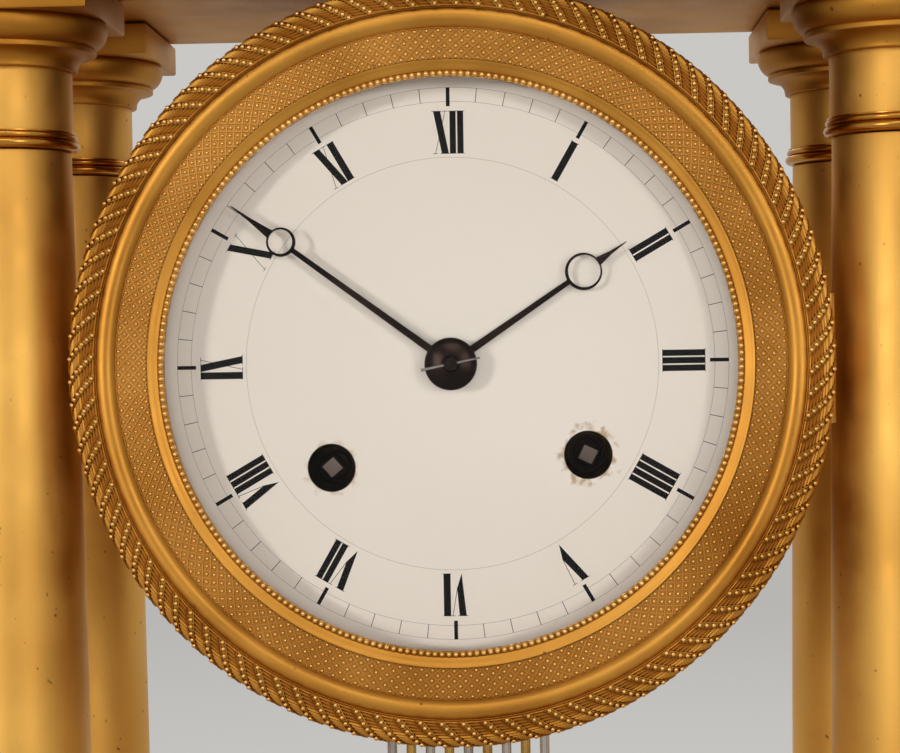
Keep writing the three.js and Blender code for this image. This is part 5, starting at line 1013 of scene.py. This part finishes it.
# Striking work outside the back plate: the count wheel lets the hammer strike the hour,
# by notches that stand ever further apart, and one blow at each half hour.

BLOWS, NOTCH, COUNT_R, NOTCH_R, COUNT_BACK = 90, radians(2.2), 10.5, 8.9, -16.5
rim, blows = [], 0
for hour in range(1, 13):
    start = 2 * pi * blows / BLOWS
    blows += hour + 1
    first, last = start + NOTCH, 2 * pi * blows / BLOWS - NOTCH
    rim += [(NOTCH_R, start - NOTCH), (NOTCH_R, first)]
    rim += [(COUNT_R, first + (last - first) * i / (3 * hour)) for i in range(3 * hour + 1)]
count_wheel = bmesh.new()
outline(count_wheel, [polar(*point) for point in rim], COUNT_BACK)
for k in range(4):
    middle = radians(90 * k + 45)
    points = [(7.3, middle + radians(37) * (2 * i / 8 - 1)) for i in range(9)]
    points += [(2.6, middle + radians(24)), (2.6, middle - radians(24))]
    outline(count_wheel, [polar(*point) for point in points], COUNT_BACK)
thicken(filled(count_wheel), 1.2)
count, place = together(count_wheel, spindle(1.1, -17.3, -12.7, 24)), WORKS @ moved(*COUNT_AT)
old = ["count_wheel"]
piece(count, "count_wheel_brass", "count_wheel", movement_brass, place, old, 25)

HEAD_AT, HAMMER_BACK, HAMMER_FRONT = moved(-0.2, 20), -16.8, -15.6
head = [(0, -33.5), (2.6, -33.5), (3.0, -33.0), (3.0, -27.0), (2.6, -26.5), (0, -26.5)]
hammer = together(
    spindle(2.2, HAMMER_BACK, HAMMER_FRONT),
    spindle(1.1, -16.5, -12.7, 24, 0.1),
    long_bar([(-1.1, 0), (1.1, 0), (0.8, 20), (-1.2, 20)], HAMMER_BACK, HAMMER_FRONT),
    put(spindle(1.1, -33.4, HAMMER_FRONT, 24, 0.1), HEAD_AT),
    put(turned(head, 40, 0.2), HEAD_AT),
)
place = WORKS @ moved(*HAMMER_AT)
piece(hammer, "strike_hammer", "hammer", polished_steel, place, ["hammer"])

# Bell: cast bell metal, turned outside, greyish gold and dull. It stands on a bracket
# behind the movement, and a brass nut holds its crown.

BELL_AT, STAND_AT = moved(0, -6), moved(31, -20)
BELL_R, MOUTH, CROWN, WALL = 27, -29.5, -41.5, 1.6

# Bell metal has more tin than bronze: paler and greyer than brass, with turning lines
bell_metal = bare_metal("bell_metal", "b5a684", "8d7c58", (0.24, 0.36), 0.5)
outside = [(1.5, 0), (9, 0), (14.6, 0.9), (19.4, 3), (22.6, 5.1), (24.8, 7.5), (26.1, 9.9)]
outside.append((BELL_R, 12))
inside = [(1.5, WALL)]
for r, depth in outside[1:-1]:
    inside.append((r - WALL * (0.6 if r < 12 else 1.0), depth + WALL * (1.0 if r < 20 else 0.6)))
bell_profile = [(r, CROWN + depth) for r, depth in outside] + [(BELL_R - WALL, MOUTH)]
bell_profile += [(r, CROWN + depth) for r, depth in reversed(inside)]
bell = turned(bell_profile, 144, 0.1)
piece(bell, "turned_bell", "case", bell_metal, WORKS @ BELL_AT, ["bell"], 40)
reach = (BELL_AT.translation - STAND_AT.translation).to_2d()
bracket = slab(-2, reach.length + 2, -2.2, 2.2, -28.4, -27.0, 0.2)
post = [(0, -28.2), (2, -28.2), (2, -17), (2.6, -16.6), (2.6, -15.3), (0, -15.3)]
stud = [(0, -45), (1.2, -45), (1.2, -39.6), (3, -39.6), (2.8, -39.0), (2, -37.6), (2, -27.2)]
stud.append((0, -27.2))
stand = together(
    put(bracket, STAND_AT @ about("Z", atan2(reach.y, reach.x))),
    put(turned(post, 32, 0.15), STAND_AT),
    put(turned(stud, 40, 0.12), BELL_AT),
)
piece(stand, "bell_bracket", "case", movement_brass, WORKS, ["bell_stand"])
nut = tapered(3.15, 3.15, 2.2, moved(0, 0, CROWN - 1.45), 6)
soften(nut, nut.edges[:], 0.2)
piece(nut, "bell_top_nut", "case", movement_brass, WORKS @ BELL_AT, ["bell_nut"])

# Pendulum: a short steel strip suspends a gridiron of five steel and four brass rods,
# and a heavy gilt bob rests on the milled rating nut of its screwed end.

ROD_PITCH, ROD_R, SCREW_R, BOB_AT = 3.62, 0.95, 1.3, -141
GRID_TOP, GRID_BOTTOM, HALF_BAR = 22, BOB_AT + 29, 4 * ROD_PITCH + 1.9
NUT_LOW, NUT_HIGH, NUT_R, MILLED = -169.3, -165.3, 4.5, 60


def hanging(bm):
    """Stands a body turned about Z upright in the movement's frame, at the pendulum."""
    return put(bm, moved(0, 0, PENDULUM_BACK) @ about("X", -pi / 2))


strip = slab(-2, 2, 29.9, 39.5, -24.13, -23.87, 0.02)
piece(strip, "suspension_strip", "pendulum", polished_steel, WORKS, ["suspension_spring"])
rods = []
for i in range(-4, 5):
    rods.append(put(hanging(spindle(ROD_R, GRID_BOTTOM, GRID_TOP - 2.5)), moved(i * ROD_PITCH, 0)))
steel = together(*rods[::2], hanging(spindle(SCREW_R, BOB_AT - 30.6, GRID_BOTTOM)))
piece(steel, "steel_rods", "pendulum", polished_steel, WORKS, ["pendulum_gridiron"])
piece(together(*rods[1::2]), "brass_rods", "pendulum", drum_brass, WORKS)
bars = [
    slab(-HALF_BAR, HALF_BAR, GRID_TOP - 5, GRID_TOP, -25.5, -22.5, 0.3),
    slab(-HALF_BAR, HALF_BAR, GRID_BOTTOM - 2.5, GRID_BOTTOM + 2.5, -25.5, -22.5, 0.3),
    slab(-2.2, 2.2, 19.5, 29.7, -24.95, -23.05, 0.2),
]
for y in (-20, -66):
    bars.append(slab(0.3 - HALF_BAR, HALF_BAR - 0.3, y - 1.2, y + 1.2, -25.2, -22.8, 0.25))
piece(together(*bars), "gridiron_bars", "pendulum", movement_brass, WORKS)
cheek = [(r, 4.2 - 3 * (r / 24) ** 2) for r in (5, 9, 13, 17, 20)]
cheek += [(21.5, 2.1), (21.8, 2.0), (22.2, 2.1)]
lens = [(0, -4.2), *[(r, -z) for r, z in cheek], *arc(22.7, 0, 1.3, 1.3, -100, 100, 8)]
bob = turned([*lens, *reversed(cheek), (0, 4.2)], 144, 0)
place = WORKS @ moved(0, BOB_AT, PENDULUM_BACK)
piece(bob, "bob_lens", "pendulum", burnished_gilt, place, ["pendulum_bob"])
knob, rings = bmesh.new(), []
for z, share in ((NUT_LOW, 0.92), (NUT_LOW + 0.4, 1.0), (NUT_HIGH - 0.4, 1.0), (NUT_HIGH, 0.92)):
    radii = [share * (NUT_R - (0.22 if i % 2 else 0.0)) for i in range(MILLED)]
    rings.append(outline(knob, [polar(r, 2 * pi * i / MILLED) for i, r in enumerate(radii)], z))
bores = [circle(knob, 1.45, z=z, segments=MILLED) for z in (NUT_LOW, NUT_HIGH)]
for low, high in (*zip(rings, rings[1:]), bores, (rings[0], bores[0]), (rings[-1], bores[1])):
    bmesh.ops.bridge_loops(knob, edges=low + high)
outward(knob)
hanging(knob)
piece(knob, "milled_rating_nut", "rating_nut", movement_brass, WORKS, ["rating_nut"], 20)

# Floor, backdrop, lamps and camera: a pale studio round the clock, softboxes in front to the
# left, to the right and above as in the photograph, and a long lens at the dial's height.


def seen_directly(add):
    """One for what the camera, a gloss or a glass sees, and nothing for light on the object."""
    path = add("LightPath").outputs
    seen = add("Math", {"operation": "ADD"}, {0: path["Is Camera Ray"], 1: path["Is Glossy Ray"]})
    through = {0: seen, 1: path["Is Transmission Ray"]}
    return add("Math", {"operation": "ADD", "use_clamp": True}, through)


# Paper under the clock and behind it: pale and quite matt, and it stays pale far off, where
# the lamps don't reach
paper, add, shader, where = new_finish("studio_paper", Roughness=0.9, Specular_IOR_Level=0.2)
shader.inputs["Base Color"].default_value = colour("a8a6a1")
shader.inputs["Emission Color"].default_value = colour("f2f0ec")
glow = add("MapRange", {"To Min": 0.0, "To Max": 0.48}, {"Value": seen_directly(add)})
connect(shader, {"Emission Strength": glow})
sheet = bmesh.new()
bmesh.ops.create_grid(sheet, x_segments=2, y_segments=2, size=3000 * MM)
mesh = bpy.data.meshes.new("studio_floor")
sheet.to_mesh(mesh)
sheet.free()
mesh.materials.append(paper)
into_scene("studio_floor", mesh)

world = bpy.data.worlds.new("studio")
bpy.context.scene.world = world
world.use_nodes = True
add, back = partial(add_node, world.node_tree), world.node_tree.nodes["Background"]
back.inputs["Color"].default_value = colour("f2f0ec")
level = add("MapRange", {"To Min": 0.07, "To Max": 0.66}, {"Value": seen_directly(add)})
connect(back, {"Strength": level})


def lamp(name, at, size, watts, aim_height, beam=180):
    """A rectangular lamp aimed at a height on the clock's middle line."""
    data = bpy.data.lights.new(name, "AREA")
    data.shape = "RECTANGLE"
    data.size, data.size_y = size
    data.energy = watts
    data.spread = radians(beam)
    made = into_scene(name, data)
    made.location = at
    aim = Vector((0, 0, aim_height)) - Vector(at)
    made.rotation_euler = aim.to_track_quat("-Z", "Y").to_euler()
    return made


# The softboxes shine in the gilding
for box in (
    lamp("left_softbox", (-0.8, -1.5, 0.41), (0.4, 0.78), 5.8, 0.22),
    lamp("right_softbox", (0.82, -1.45, 0.41), (0.4, 0.78), 4.2, 0.22),
    lamp("top_softbox", (0.05, -1.3, 1.15), (0.8, 0.4), 2.6, 0.22),
):
    box.visible_diffuse = False
lamp("back_light", (0.1, 0.9, 0.9), (0.9, 0.5), 3, 0.15)
# The lamps for the enamel stay out of the glass's reflection: one round the lens lights all
# that the camera sees through the bezel, and two small ones give the hands their shadows
for fill in (
    lamp("lens_light", (0.0135, -0.4, 0.234), (0.12, 0.12), 0.5, 0.232),
    lamp("left_key", (-0.86, -1.46, 0.36), (0.18, 0.18), 0.56, 0.22, 50),
    lamp("right_key", (0.65, -1.5, 0.34), (0.18, 0.18), 0.38, 0.22, 50),
):
    fill.visible_glossy = False
    fill.visible_camera = False

# The camera stands a little to the right of the middle and looks slightly to the left
YAW, PITCH_DOWN, ROLL = 0.038, -0.011, 0.016
CAMERA_AT = (0.0135, -0.393, 0.2339)
camera_data = bpy.data.cameras.new("camera")
camera_data.lens, camera_data.sensor_width = 88, 36
camera = into_scene("camera", camera_data)
ahead = Vector((-sin(YAW), cos(YAW), PITCH_DOWN)).normalized()
across = Vector((cos(YAW), sin(YAW), -ROLL)).normalized()
turn = Matrix((across, across.cross(ahead), -ahead)).transposed()
camera.matrix_world = Matrix.Translation(CAMERA_AT) @ turn.to_4x4()
bpy.context.scene.camera = camera
bpy.context.scene.view_settings.view_transform = "Standard"
